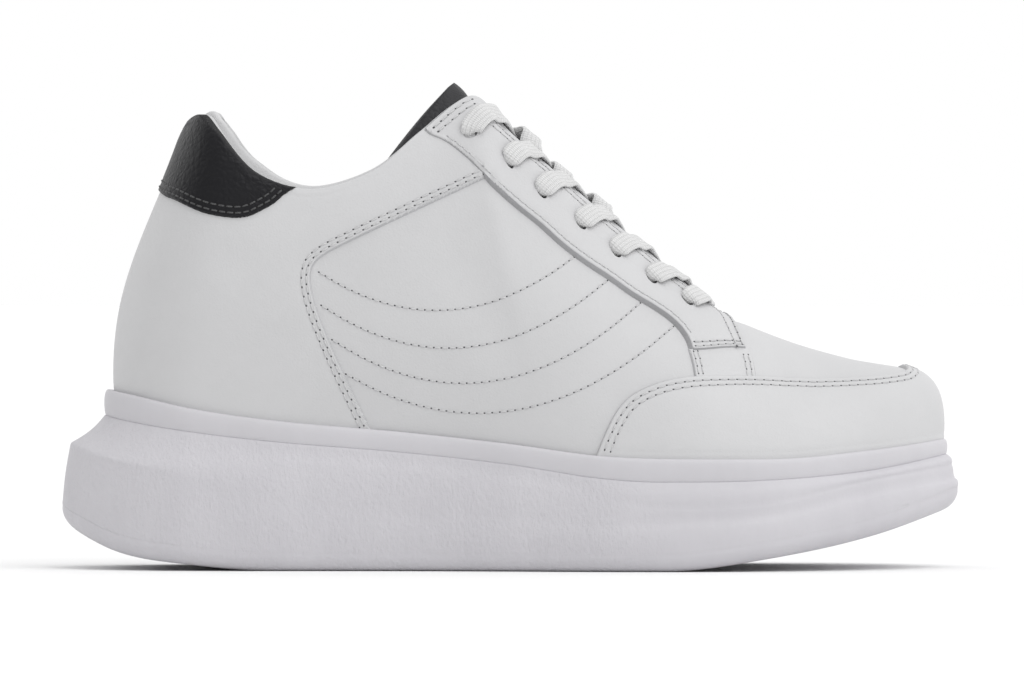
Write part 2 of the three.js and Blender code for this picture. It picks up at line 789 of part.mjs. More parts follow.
/** Adds one named piece. */
function add(name, geometry, finish) {
  const mesh = new THREE.Mesh(geometry, new THREE.MeshStandardMaterial(FINISH[finish]));
  mesh.name = name;
  group.add(mesh);
}

add('outsole', outsole(), 'tread');
add('midsole', midsole(), 'rubber');
add('foxing_band', foxingBand(), 'rubber');
add('insole', insole(), 'lining');
add('upper', upper(), 'leather');
add('tongue', tongue(), 'black');
add('collar_pad', collarPad(), 'lining');
add('heel_tab', heelTab(), 'black');
add('toe_rand', toeRand(), 'leather');
add('eyestay', eyestay(), 'leather');
EYELETS.forEach((_, k) => {
  const kind = k === EYELETS.length - 1 ? 'bar' : 'cross';
  add(`lace_${kind}_${k + 1}`, lace(k), 'lace');
});

export default group;
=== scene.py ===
"""Platform sneaker for the right foot, dressed for rendering.

Sizes are in millimetres and turned into metres where a mesh is made. +X points to the toe, +Y to
the inner side of the foot and +Z up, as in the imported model. Every piece follows one surface, the
outside of the leather. Its station runs round the shoe, from 0 at the heel along the outer side to
15 at the toe and back along the inner side to 30. Its height runs up a rib, from 0 at the sole to
1 at the collar, the throat or the middle line of the vamp.
"""

from __future__ import annotations

import logging
import math
from dataclasses import dataclass, field
from enum import Enum
from typing import Callable, Sequence

import bmesh
import bpy
import numpy as np
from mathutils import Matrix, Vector
from mathutils.geometry import delaunay_2d_cdt
from mathutils.kdtree import KDTree


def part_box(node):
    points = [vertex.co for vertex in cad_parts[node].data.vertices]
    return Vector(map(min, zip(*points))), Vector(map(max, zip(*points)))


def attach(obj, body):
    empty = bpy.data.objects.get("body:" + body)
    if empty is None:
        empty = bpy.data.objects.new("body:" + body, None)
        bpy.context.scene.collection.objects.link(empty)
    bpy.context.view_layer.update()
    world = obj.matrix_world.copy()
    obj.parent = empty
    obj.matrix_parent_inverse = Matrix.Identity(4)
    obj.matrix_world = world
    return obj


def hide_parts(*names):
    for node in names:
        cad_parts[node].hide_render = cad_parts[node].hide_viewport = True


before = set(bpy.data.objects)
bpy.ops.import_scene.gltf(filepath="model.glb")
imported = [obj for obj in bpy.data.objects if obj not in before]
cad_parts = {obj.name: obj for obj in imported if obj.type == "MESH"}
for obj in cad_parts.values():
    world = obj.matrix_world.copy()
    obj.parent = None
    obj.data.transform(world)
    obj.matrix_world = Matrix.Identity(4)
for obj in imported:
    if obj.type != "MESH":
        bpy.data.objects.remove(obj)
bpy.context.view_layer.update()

MM = 0.001
ROOT = "root"
SHARP_ANGLE = 62
Array = np.ndarray
Triple = tuple[float, float, float]
Material = bpy.types.Material
Piece = bpy.types.Object
Socket = bpy.types.NodeSocket
Route = tuple[Array, Array, Array]
Profile = Callable[[Array], Array]
Field = Callable[[Array, Array], Array]
log = logging.getLogger("sneaker")


class Slot(str, Enum):
    """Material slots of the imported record."""

    TREAD = "tread_rubber"
    SOLE = "sole_rubber"
    FOOTBED = "footbed"
    WHITE = "white_leather"
    BLACK = "black_leather"
    LINING = "lining"
    LACE = "lace"


class Side(Enum):
    """The two sides of the shoe. The value is the sign of Y."""

    OUTER = -1
    INNER = 1


# ---- tables


@dataclass(frozen=True)
class Section:
    """One rib of the last: where it stands on the sole, where it ends and how it bends."""

    name: str
    foot_x: float
    outer_y: float
    inner_y: float
    top_x: float
    top_y: float
    top_z: float
    rise: float
    bulge: float
    reach: float
    fall: float


SECTIONS = (
    Section("heel", -130.9, 0.0, 0.0, -106.7, 0.0, 149.8, 45, 3.3, 18, 50),
    Section("heel corner", -125.8, 18.0, 18.0, -102.8, 14.5, 152.0, 42, 3.4, 14, 44),
    Section("heel side", -110.0, 30.0, 29.5, -96.8, 25.0, 146.2, 37, 3.0, 9, 35),
    Section("ankle", -85.0, 34.0, 33.0, -84.0, 29.5, 132.4, 28, 3.0, 5, 22),
    Section("collar dip", -58.0, 35.5, 32.5, -66.5, 30.0, 127.2, 26, 3.5, 5, 22),
    Section("collar rise", -32.0, 37.5, 33.0, -46.0, 27.0, 133.2, 26, 4.5, 8, 24),
    Section("stay rear", -10.0, 41.0, 36.0, -30.0, 20.5, 146.2, 26, 5.0, 12, 24),
    Section("throat top", 8.0, 44.5, 39.5, -12.6, 12.5, 158.8, 24, 5.0, 16, 18),
    Section("throat high", 19.0, 47.0, 42.0, 2.0, 11.8, 145.2, 22, 4.5, 18, 15),
    Section("throat middle", 36.0, 50.0, 46.0, 29.0, 10.8, 121.4, 19, 3.8, 20, 11),
    Section("throat low", 59.0, 51.5, 48.8, 57.0, 9.3, 97.2, 17, 2.5, 20, 6),
    Section("throat end", 81.0, 50.0, 48.6, 71.5, 0.0, 85.0, 15, 2.0, 24, 1),
    Section("vamp", 103.0, 43.0, 45.0, 92.0, 0.0, 76.0, 15, 1.5, 26, 1),
    Section("toe side", 124.0, 30.0, 36.0, 108.0, 0.0, 71.0, 17, 1.2, 26, 1),
    Section("toe corner", 138.4, 14.5, 20.5, 115.0, 0.0, 69.2, 20, 1.0, 27, 1),
    Section("toe", 144.0, 0.0, 0.0, 118.0, 0.0, 68.5, 21, 1.0, 27, 1),
)
HALF = len(SECTIONS) - 1
ROUND = 2 * HALF
VAMP = [row.name for row in SECTIONS].index("throat end")


@dataclass(frozen=True)
class Level:
    """Heights of the sole at one place along the shoe."""

    x: float
    rim: float
    seat: float
    crease: float
    ground: float


LEVELS = (
    Level(-150, 62.0, 55.0, 42.6, 15.0),
    Level(-130, 59.0, 49.9, 36.4, 5.9),
    Level(-105, 53.6, 45.8, 32.6, 1.9),
    Level(-78, 49.8, 42.7, 30.2, 0.0),
    Level(-35, 46.0, 39.2, 27.5, 0.0),
    Level(0, 42.2, 35.3, 24.3, 0.0),
    Level(30, 38.3, 30.8, 19.8, 0.0),
    Level(50, 37.4, 29.6, 18.6, 0.0),
    Level(85, 37.2, 30.2, 20.4, 4.1),
    Level(120, 39.9, 33.2, 27.9, 11.3),
    Level(150, 43.8, 38.8, 32.6, 21.0),
)


@dataclass(frozen=True)
class Flare:
    """How far the sole stands out of the upper's foot at one station."""

    station: float
    rim: float
    crease: float
    base: float


FLARES = (
    Flare(0, 4.7, 16.1, 18.9),
    Flare(1, 4.1, 13.5, 16.2),
    Flare(2, 3.9, 10.6, 12.8),
    Flare(3, 3.7, 8.6, 10.4),
    Flare(5, 3.5, 6.8, 8.2),
    Flare(9, 3.4, 6.0, 7.4),
    Flare(12, 3.2, 5.6, 6.8),
    Flare(15, 2.4, 5.0, 6.1),
)


@dataclass(frozen=True)
class Crease:
    """A soft trough in the leather, between two points seen from the side."""

    x0: float
    z0: float
    x1: float
    z1: float
    depth: float
    width: float


CREASES = (
    Crease(-104, 112, -84, 96, 0.35, 7.0),
    Crease(-30, 108, 4, 84, 0.45, 9.0),
    Crease(-24, 92, 10, 70, 0.35, 9.0),
    Crease(84, 72, 96, 58, 0.30, 5.0),
    Crease(93, 70, 104, 58, 0.25, 5.0),
    Crease(-92, 74, -60, 70, 0.30, 10.0),
)


# ---- interpolation


def eased_slope(before: Array, after: Array) -> Array:
    """Slope at a point that never lets a curve swing past its own points.

    Args:
        before: Slope of the stretch before the point.
        after: Slope of the stretch after it.

    Returns:
        The slope to use at the point.
    """
    mean = (before + after) / 2
    limit = 3 * np.minimum(np.abs(before), np.abs(after))
    return np.where(before * after <= 0, 0.0, np.sign(mean) * np.minimum(np.abs(mean), limit))


def hermite(a: Array, slope_a: Array, b: Array, slope_b: Array, f: Array) -> Array:
    """Cubic blend between two values with a slope at each.

    Args:
        a: First value.
        slope_a: Slope at the first value.
        b: Second value.
        slope_b: Slope at the second value.
        f: Fraction of the way, 0 to 1.

    Returns:
        The blended value.
    """
    f2 = f * f
    f3 = f2 * f
    value = (2 * f3 - 3 * f2 + 1) * a + (3 * f2 - 2 * f3) * b
    return value + (f3 - 2 * f2 + f) * slope_a + (f3 - f2) * slope_b


def smoothstep(x: Array, low: float, high: float) -> Array:
    """Smooth step from 0 at low to 1 at high.

    Args:
        x: Values to look at.
        low: Where the step starts.
        high: Where it ends.

    Returns:
        Values from 0 to 1.
    """
    f = np.clip((np.asarray(x, float) - low) / (high - low), 0, 1)
    return f * f * (3 - 2 * f)


class Loop:
    """A value that runs round the shoe through one value for each station."""

    def __init__(self, values: Sequence[float]) -> None:
        """Keeps the values, which the stations index."""
        self.values = np.asarray(values, float)

    def __call__(self, station: Array) -> Array:
        """The value at a station."""
        n = len(self.values)
        u = np.mod(np.asarray(station, float), n)
        i = np.floor(u).astype(int) % n
        a, b, c, d = (self.values[(i + k) % n] for k in (-1, 0, 1, 2))
        return hermite(b, eased_slope(b - a, c - b), c, eased_slope(c - b, d - c), u - np.floor(u))


class Track:
    """A value looked up along a coordinate that grows from point to point."""

    def __init__(self, at: Sequence[float], values: Sequence[float]) -> None:
        """Keeps the points and works out a slope at each."""
        self.at = np.asarray(at, float)
        self.values = np.asarray(values, float)
        steep = np.diff(self.values) / np.diff(self.at)
        inner = eased_slope(steep[:-1], steep[1:])
        self.slopes = np.concatenate([steep[:1], inner, steep[-1:]])

    def __call__(self, wanted: Array) -> Array:
        """The value at a coordinate, held constant past the ends."""
        x = np.clip(np.asarray(wanted, float), self.at[0], self.at[-1])
        k = np.clip(np.searchsorted(self.at, x, side="right") - 1, 0, len(self.at) - 2)
        span = self.at[k + 1] - self.at[k]
        f = (x - self.at[k]) / span
        return hermite(
            self.values[k], self.slopes[k] * span, self.values[k + 1], self.slopes[k + 1] * span, f
        )


def unit(v: Array) -> Array:
    """The vectors at length one."""
    return v / np.maximum(np.linalg.norm(v, axis=-1, keepdims=True), 1e-12)


def through(points: Array, per_span: int = 24) -> Array:
    """A smooth curve through points.

    Args:
        points: The points, one to a row.
        per_span: Samples for each stretch between two points.

    Returns:
        The sampled curve.
    """
    p = np.asarray(points, float)
    if len(p) < 3:
        f = np.linspace(0, 1, per_span + 1)[:, None]
        return p[0] + (p[-1] - p[0]) * f
    gaps = np.maximum(np.linalg.norm(np.diff(p, axis=0), axis=1), 1e-9)[:, None] ** 0.5
    steep = np.diff(p, axis=0) / gaps
    inner = (steep[:-1] * gaps[1:] + steep[1:] * gaps[:-1]) / (gaps[1:] + gaps[:-1])
    slopes = np.vstack([steep[:1], inner, steep[-1:]])
    f = np.linspace(0, 1, per_span, endpoint=False)[:, None]
    spans = [
        hermite(p[k], slopes[k] * gap, p[k + 1], slopes[k + 1] * gap, f)
        for k, gap in enumerate(gaps)
    ]
    return np.vstack(spans + [p[-1:]])


def spaced(points: Array, step: float, measure: Array | None = None) -> Array:
    """A polyline cut into even steps.

    Args:
        points: The polyline, one point to a row.
        step: Wanted distance between the new points.
        measure: Points whose distances count as length. They are the same as points when left out.

    Returns:
        The evenly spaced points, with both ends kept.
    """
    real = points if measure is None else measure
    run = np.concatenate([[0], np.cumsum(np.linalg.norm(np.diff(real, axis=0), axis=1))])
    count = max(2, int(round(run[-1] / step)) + 1)
    wanted = np.linspace(0, run[-1], count)
    return np.stack([np.interp(wanted, run, points[:, k]) for k in range(points.shape[1])], axis=1)


def around(count: int) -> Array:
    """Even stations round the shoe."""
    return np.arange(count) * ROUND / count


# ---- the last


class Last:
    """The outside of the leather, by station and height, and the plan of the sole."""

    gap = 0.3
    swing_start = -30.0
    swing_toe = 145.0
    swing_shift = 5.0
    ripple = 0.12
    chart = np.array([17.0, 85.0])
    collar_roll = 1.5
    collar_turn = 3.2
    heel_roll = 0.3
    heel_turn = 2.6
    throat_curl = 1.9
    rib_bow = 1.06

    def __init__(self) -> None:
        """Sets up the loops and levels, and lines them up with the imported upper."""

        def loop(there: str, back: str | None = None, sign: float = 1.0) -> Loop:
            """A section column as a loop. The inner side may use a column of its own."""
            out = [sign * getattr(row, there) for row in SECTIONS]
            home = [getattr(row, back or there) for row in SECTIONS[1:HALF]][::-1]
            return Loop(out + home)

        self.foot_x, self.top_x, self.top_z = (loop(name) for name in ("foot_x", "top_x", "top_z"))
        self.foot_y = loop("outer_y", "inner_y", -1)
        self.top_y = loop("top_y", "top_y", -1)
        self.rise, self.bulge, self.reach, self.fall = (
            loop(name) for name in ("rise", "bulge", "reach", "fall")
        )
        along = [row.x for row in LEVELS]
        self.rim, self.seat, self.crease, self.ground = (
            Track(along, [getattr(row, name) for row in LEVELS])
            for name in ("rim", "seat", "crease", "ground")
        )
        at = [row.station for row in FLARES]
        names = ("rim", "crease", "base")
        self.flares = {name: Track(at, [getattr(row, name) for row in FLARES]) for name in names}
        self.origin = np.zeros(3)
        low = np.array(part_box("upper")[0]) / MM
        wall = self.surface(np.linspace(0, ROUND, 600)[:, None], np.linspace(0, 1, 60)[None, :])
        shift = low - wall.reshape(-1, 3).min(axis=0)
        self.origin = np.where(np.abs(shift) > 0.4, shift, 0.0)

    def flare(self, name: str, station: Array) -> Array:
        """How far the sole's rim, crease or base stands out at a station."""
        u = np.mod(np.asarray(station, float), ROUND)
        return self.flares[name](np.where(u > HALF, ROUND - u, u))

    def swing(self, x: Array) -> Array:
        """How far the last curves inwards at x."""
        s = np.clip((x - self.swing_start) / (self.swing_toe - self.swing_start), 0, 1.1)
        return self.swing_shift * s * s

    def outward(self, station: Array) -> tuple[Array, Array]:
        """The level direction out of the shoe at a station, as its x and y.

        Args:
            station: Places round the shoe.

        Returns:
            Its x and y.
        """
        step = 0.02
        dx = self.foot_x(station + step) - self.foot_x(station - step)
        dy = self.foot_y(station + step) - self.foot_y(station - step)
        length = np.hypot(dx, dy)
        return dy / length, -dx / length

    def plan(self, station: Array, out: Array) -> tuple[Array, Array]:
        """The upper's foot line in plan, moved outwards, as its x and y."""
        nx, ny = self.outward(station)
        x = self.foot_x(station) + nx * out
        return x, self.foot_y(station) + ny * out + self.swing(x)

    def surface(self, station: Array, height: Array) -> Array:
        """Points on the outside of the leather.

        Args:
            station: Places round the shoe.
            height: Places up the rib.

        Returns:
            Points in millimetres, on the last axis.
        """
        u, t = np.broadcast_arrays(np.asarray(station, float), np.asarray(height, float))
        nx, ny = self.outward(u)
        fx, fy = self.foot_x(u), self.foot_y(u)
        tx, ty, tz = self.top_x(u), self.top_y(u), self.top_z(u)
        fz = self.seat(fx) + self.gap
        bulge, reach = self.bulge(u), self.reach(u)
        s = 1 - t
        w = (s * s * s, 3 * s * s * t, 3 * s * t * t, t * t * t)
        x = w[0] * fx + w[1] * (fx + bulge * nx) + w[2] * (tx + reach * nx) + w[3] * tx
        y = w[0] * fy + w[1] * (fy + bulge * ny) + w[2] * (ty + reach * ny) + w[3] * ty
        z = w[0] * fz + w[1] * (fz + self.rise(u)) + w[2] * (tz - self.fall(u)) + w[3] * tz
        return np.stack([x, y + self.swing(x), z], axis=-1) + self.origin

    def slopes(self, station: Array, height: Array) -> tuple[Array, Array]:
        """How the surface moves with the station and with the height.

        Args:
            station: Places round the shoe.
            height: Places up the rib.

        Returns:
            Millimetres for a unit of station and for a unit of height.
        """
        step = 2e-3
        u = np.asarray(station, float)
        t = np.asarray(height, float)
        lengthways = (self.surface(u + step, t) - self.surface(u - step, t)) / (2 * step)
        upwards = (self.surface(u, t + step) - self.surface(u, t - step)) / (2 * step)
        return lengthways, upwards

    def normal(self, station: Array, height: Array) -> Array:
        """Direction out of the leather. Both sides share one on the vamp's middle line.

        Args:
            station: Places round the shoe.
            height: Places up the rib.

        Returns:
            Directions of length one.
        """
        u, t = np.broadcast_arrays(np.asarray(station, float), np.asarray(height, float))
        own = unit(np.cross(*self.slopes(u, t)))
        other = unit(np.cross(*self.slopes(ROUND - u, t)))
        is_middle = (np.abs(self.top_y(u)) < 1e-6)[..., None]
        share = smoothstep(t, 0.8, 1.0)[..., None] * is_middle * 0.5
        level = unit(own + (other - own) * share)
        return np.where(is_middle & (t > 0.8)[..., None], level, own)

    def relief(self, points: Array) -> Array:
        """How far the leather's creases and soft ripples move it in or out.

        Args:
            points: Points on the leather.

        Returns:
            The move out of the leather in millimetres.
        """
        x, y, z = points[..., 0], points[..., 1], points[..., 2]
        depth = np.zeros_like(x)
        for crease in CREASES:
            run = np.array([crease.x1 - crease.x0, crease.z1 - crease.z0])
            length = np.hypot(*run)
            dx, dz = x - crease.x0, z - crease.z0
            f = (dx * run[0] + dz * run[1]) / length**2
            off = (dx * run[1] - dz * run[0]) / length
            off = off + 1.5 * np.sin(np.clip(f, 0, 1) * 5.0)
            fade = smoothstep(f, -0.1, 0.3) * (1 - smoothstep(f, 0.7, 1.1))
            trough, banks = (np.exp(-((off / crease.width / share) ** 2)) for share in (1, 2))
            depth -= crease.depth * fade * (trough * 1.35 - banks * 0.35)
        wave = np.sin(x * 0.071 + z * 0.043 + 1.3) * np.sin(z * 0.083 - x * 0.021 + y * 0.05)
        wave = wave + 0.6 * np.sin(x * 0.137 - z * 0.101 + 0.4) * np.sin(y * 0.09 + x * 0.05 + 2.0)
        return depth + self.ripple * wave

    def skin(self, station: Array, height: Array, out: Array) -> Array:
        """Points above (out > 0) or below the outside of the leather, creases included.

        Args:
            station: Places round the shoe.
            height: Places up the rib.
            out: Distance out of the leather.

        Returns:
            Points in millimetres.
        """
        p = self.surface(station, height)
        n = self.normal(station, height)
        move = np.asarray(out, float) + self.relief(p) - self.turned(station, height)
        return p + n * move[..., None]

    def turned(self, station: Array, height: Array) -> Array:
        """How far the leather turns in along the collar and the throat.

        Args:
            station: Places round the shoe.
            height: Places up the rib.

        Returns:
            The move into the shoe in millimetres.
        """
        u, t = np.broadcast_arrays(np.asarray(station, float), np.asarray(height, float))
        v = np.mod(u, ROUND)
        v = np.minimum(v, ROUND - v)
        top, foot = (self.surface(u, np.full(u.shape, end)) for end in (1.0, 0.0))
        down = (1 - t) * np.linalg.norm(top - foot, axis=-1) * self.rib_bow
        heel = 1 - smoothstep(v, 2.4, 3.9)
        q = np.clip(1 - down / (self.collar_turn + self.heel_turn * heel), 0, 1)
        roll = self.collar_roll + self.heel_roll * heel
        collar = roll * (1 - np.sqrt(1 - 0.96 * q * q)) * (1 - smoothstep(v, 5.7, 6.5))
        throat = self.throat_curl * (1 - smoothstep(down, 0, 16)) * smoothstep(v, 6.0, 6.8)
        return collar + throat * (1 - smoothstep(v, 10.8, 11.4))

    def height_at(self, station: Array, z: Array) -> Array:
        """The height on the rib at which it reaches z.

        Args:
            station: Places round the shoe.
            z: Wanted level in millimetres.

        Returns:
            Places up the rib.
        """
        u, z = np.broadcast_arrays(np.asarray(station, float), np.asarray(z, float))
        low, high = np.zeros(u.shape), np.ones(u.shape)
        for _ in range(26):
            middle = (low + high) / 2
            is_low = self.surface(u, middle)[..., 2] < z
            low = np.where(is_low, middle, low)
            high = np.where(is_low, high, middle)
        return (low + high) / 2

    def on_side(self, points: Sequence[Sequence[float]]) -> Array:
        """Station and height of points given as they are seen from the outer side.

        Args:
            points: Rows of x and z.

        Returns:
            Rows of station and height.
        """
        wanted = np.asarray(points, float)
        stations, heights = np.linspace(0.6, HALF - 0.4, 145), np.linspace(0.02, 1.0, 50)
        u, t = np.meshgrid(stations, heights, indexing="ij")
        grid = self.surface(u, t)[..., [0, 2]].reshape(-1, 2)
        flat = np.stack([u.ravel(), t.ravel()], axis=1)
        near = np.argmin(((grid[None] - wanted[:, None]) ** 2).sum(-1), axis=1)
        uv = flat[near]
        for _ in range(12):
            miss = wanted - self.surface(uv[:, 0], uv[:, 1])[:, [0, 2]]
            du, dt = (s[:, [0, 2]] for s in self.slopes(uv[:, 0], uv[:, 1]))
            det = du[:, 0] * dt[:, 1] - du[:, 1] * dt[:, 0]
            det = np.where(np.abs(det) < 1e-3, 1e-3, det)
            step_u = (miss[:, 0] * dt[:, 1] - miss[:, 1] * dt[:, 0]) / det
            step_t = (du[:, 0] * miss[:, 1] - du[:, 1] * miss[:, 0]) / det
            uv[:, 0] += np.clip(step_u, -0.3, 0.3)
            uv[:, 1] = np.clip(uv[:, 1] + np.clip(step_t, -0.1, 0.1), 0, 1.0)
        return uv

    def along_side(self, points: Sequence[Sequence[float]]) -> Array:
        """A smooth line on the leather through points seen from the outer side."""
        return self.on_side(spaced(through(np.asarray(points, float), 12), 1.5))

    def even(self, line: Array, step: float) -> Array:
        """A line of stations and heights, cut into even steps in millimetres."""
        return spaced(line, step, self.surface(line[:, 0], line[:, 1]))

    def beside(self, line: Array, distance: float) -> Array:
        """A line moved sideways over the leather, to the left of its run seen from outside.

        Args:
            line: Rows of station and height.
            distance: How far it moves in millimetres.

        Returns:
            Rows of station and height.
        """
        p = self.surface(line[:, 0], line[:, 1])
        run = unit(np.gradient(p, axis=0))
        du, dt = self.slopes(line[:, 0], line[:, 1])
        side = unit(np.cross(unit(np.cross(du, dt)), run)) * distance
        uu, ut, tt = (du * du).sum(-1), (du * dt).sum(-1), (dt * dt).sum(-1)
        su, st = (du * side).sum(-1), (dt * side).sum(-1)
        det = uu * tt - ut * ut
        return line + np.stack([(su * tt - st * ut) / det, (uu * st - ut * su) / det], axis=1)

    def arch(
        self, station: Array, height: float, out: float, w: Array, lead: float = 0.36
    ) -> Array:
        """Points of a strap across the throat that leaves the rib of each side smoothly.

        Args:
            station: Station of the strap on the outer side.
            height: Height on the rib at which it leaves the leather.
            out: Distance out of the leather.
            w: Fraction of the way across, from the outer side.
            lead: How far it follows the rib at each side, as a share of the width.

        Returns:
            Points in millimetres.
        """
        u, w = np.broadcast_arrays(np.asarray(station, float), np.asarray(w, float))
        ends, leads = [], []
        for side in (u, ROUND - u):
            p = self.surface(side, height) + self.normal(side, height) * out
            back = self.surface(side, height - 0.01) + self.normal(side, height - 0.01) * out
            ends.append(p)
            leads.append(unit(p - back))
        reach = lead * np.linalg.norm(ends[1] - ends[0], axis=-1, keepdims=True)
        a, d = ends
        b, c = a + leads[0] * reach, d + leads[1] * reach
        w = w[..., None]
        s = 1 - w
        return s**3 * a + 3 * s * s * w * b + 3 * s * w * w * c + w**3 * d


# ---- meshes


class Faces:
    """Faces of a mesh under construction, with the vertices they use."""

    def __init__(self) -> None:
        """Starts with nothing."""
        self.blocks: list[Array] = []
        self.faces: list[tuple[int, ...]] = []
        self.marks: list[int] = []
        self.count = 0

    def add(self, points: Array) -> Array:
        """Adds points and gives their numbers in the same layout.

        Args:
            points: Points in millimetres, on the last axis.

        Returns:
            A number for each point.
        """
        flat = np.asarray(points, float).reshape(-1, 3)
        numbers = self.count + np.arange(len(flat))
        self.blocks.append(flat)
        self.count += len(flat)
        return numbers.reshape(np.asarray(points).shape[:-1])

    def grid(self, numbers: Array, mark: int = 0, flip: bool = False) -> None:
        """Adds the faces between the rows and columns of numbered points.

        Args:
            numbers: Numbers of the points by row and column.
            mark: Material of the faces.
            flip: True when the faces look the other way.
        """
        a, b = numbers[:-1, :-1].ravel(), numbers[1:, :-1].ravel()
        c, d = numbers[1:, 1:].ravel(), numbers[:-1, 1:].ravel()
        quads = np.stack([a, d, c, b] if flip else [a, b, c, d], axis=1)
        self.faces.extend(map(tuple, quads.tolist()))
        self.marks.extend([mark] * len(quads))

    def rings(self, points: Array) -> Array:
        """Adds closed rings, one to a row, joins each to the next and gives the numbers."""
        numbers = self.add(points)
        self.grid(np.concatenate([numbers, numbers[:, :1]], axis=1))
        return numbers

    def face(self, corners: Sequence[int], mark: int = 0) -> None:
        """Adds one face."""
        self.faces.append(tuple(int(c) for c in corners))
        self.marks.append(mark)

    def untouched(self, name: str, materials: Sequence[Material]) -> Piece:
        """Makes the Blender object with its points as they stand.

        Args:
            name: Name of the piece.
            materials: Its materials, in the order of the marks.

        Returns:
            The new object.
        """
        mesh = bpy.data.meshes.new(name)
        mesh.from_pydata((np.vstack(self.blocks) * MM).tolist(), [], self.faces)
        for material in materials:
            mesh.materials.append(material)
        mesh.polygons.foreach_set("material_index", self.marks)
        mesh.polygons.foreach_set("use_smooth", [True] * len(self.faces))
        piece = bpy.data.objects.new(name, mesh)
        bpy.context.scene.collection.objects.link(piece)
        return piece

    def piece(self, name: str, materials: Sequence[Material], weld: float = 0.004) -> Piece:
        """Makes the Blender object and joins points closer than the weld, in millimetres."""
        piece = self.untouched(name, materials)
        tidy_mesh(piece.data, weld * MM)
        return piece


def tidy_mesh(mesh: bpy.types.Mesh, weld: float) -> None:
    """Joins points that lie together, drops empty faces and turns the faces outwards.

    Args:
        mesh: The mesh to tidy.
        weld: Distance in metres under which points are joined.
    """
    work = bmesh.new()
    work.from_mesh(mesh)
    bmesh.ops.remove_doubles(work, verts=work.verts, dist=weld)
    bmesh.ops.dissolve_degenerate(work, edges=work.edges, dist=weld / 4)
    bmesh.ops.recalc_face_normals(work, faces=work.faces)
    work.to_mesh(mesh)
    work.free()
    mesh.set_sharp_from_angle(angle=math.radians(SHARP_ANGLE))
    mesh.update()


def place(piece: Piece, slot: Slot, *nodes: str) -> Piece:
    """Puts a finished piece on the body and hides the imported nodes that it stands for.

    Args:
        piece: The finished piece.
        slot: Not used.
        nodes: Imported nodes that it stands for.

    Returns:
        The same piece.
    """
    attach(piece, ROOT)
    if nodes:
        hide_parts(*nodes)
    return piece


def swept(sections: Array, faces: Faces) -> None:
    """Adds a bar through closed sections, with a face on each end.

    Args:
        sections: Points by section and place in the section.
        faces: Where the faces go.
    """
    numbers = faces.rings(sections)
    faces.face(numbers[0][::-1])
    faces.face(numbers[-1])


# ---- finishes


class Graph:
    """A short way to add nodes to a node tree."""

    def __init__(self, tree: bpy.types.NodeTree) -> None:
        """Keeps the tree."""
        self.tree = tree

    def put(
        self, kind: str, inputs: dict[str | int, object] | None = None, **settings: object
    ) -> bpy.types.Node:
        """Adds a node.

        Args:
            kind: The node's type.
            inputs: Values or sockets for its inputs.
            settings: Its own settings.

        Returns:
            The node.
        """
        node = self.tree.nodes.new(kind)
        for key, value in settings.items():
            setattr(node, key, value)
        for key, value in (inputs or {}).items():
            if isinstance(value, Socket):
                self.tree.links.new(value, node.inputs[key])
            else:
                node.inputs[key].default_value = value
        return node

    def axes(self, vector: Socket) -> list[Socket]:
        """The three parts of a direction or a place."""
        return list(self.put("ShaderNodeSeparateXYZ", {"Vector": vector}).outputs)

    def span(
        self, value: Socket, low: float, high: float, to_low: object, to_high: object
    ) -> Socket:
        """A value moved from one range to another and held inside it."""
        inputs = {"Value": value, "From Min": low, "From Max": high}
        inputs |= {"To Min": to_low, "To Max": to_high}
        return self.put("ShaderNodeMapRange", inputs).outputs["Result"]


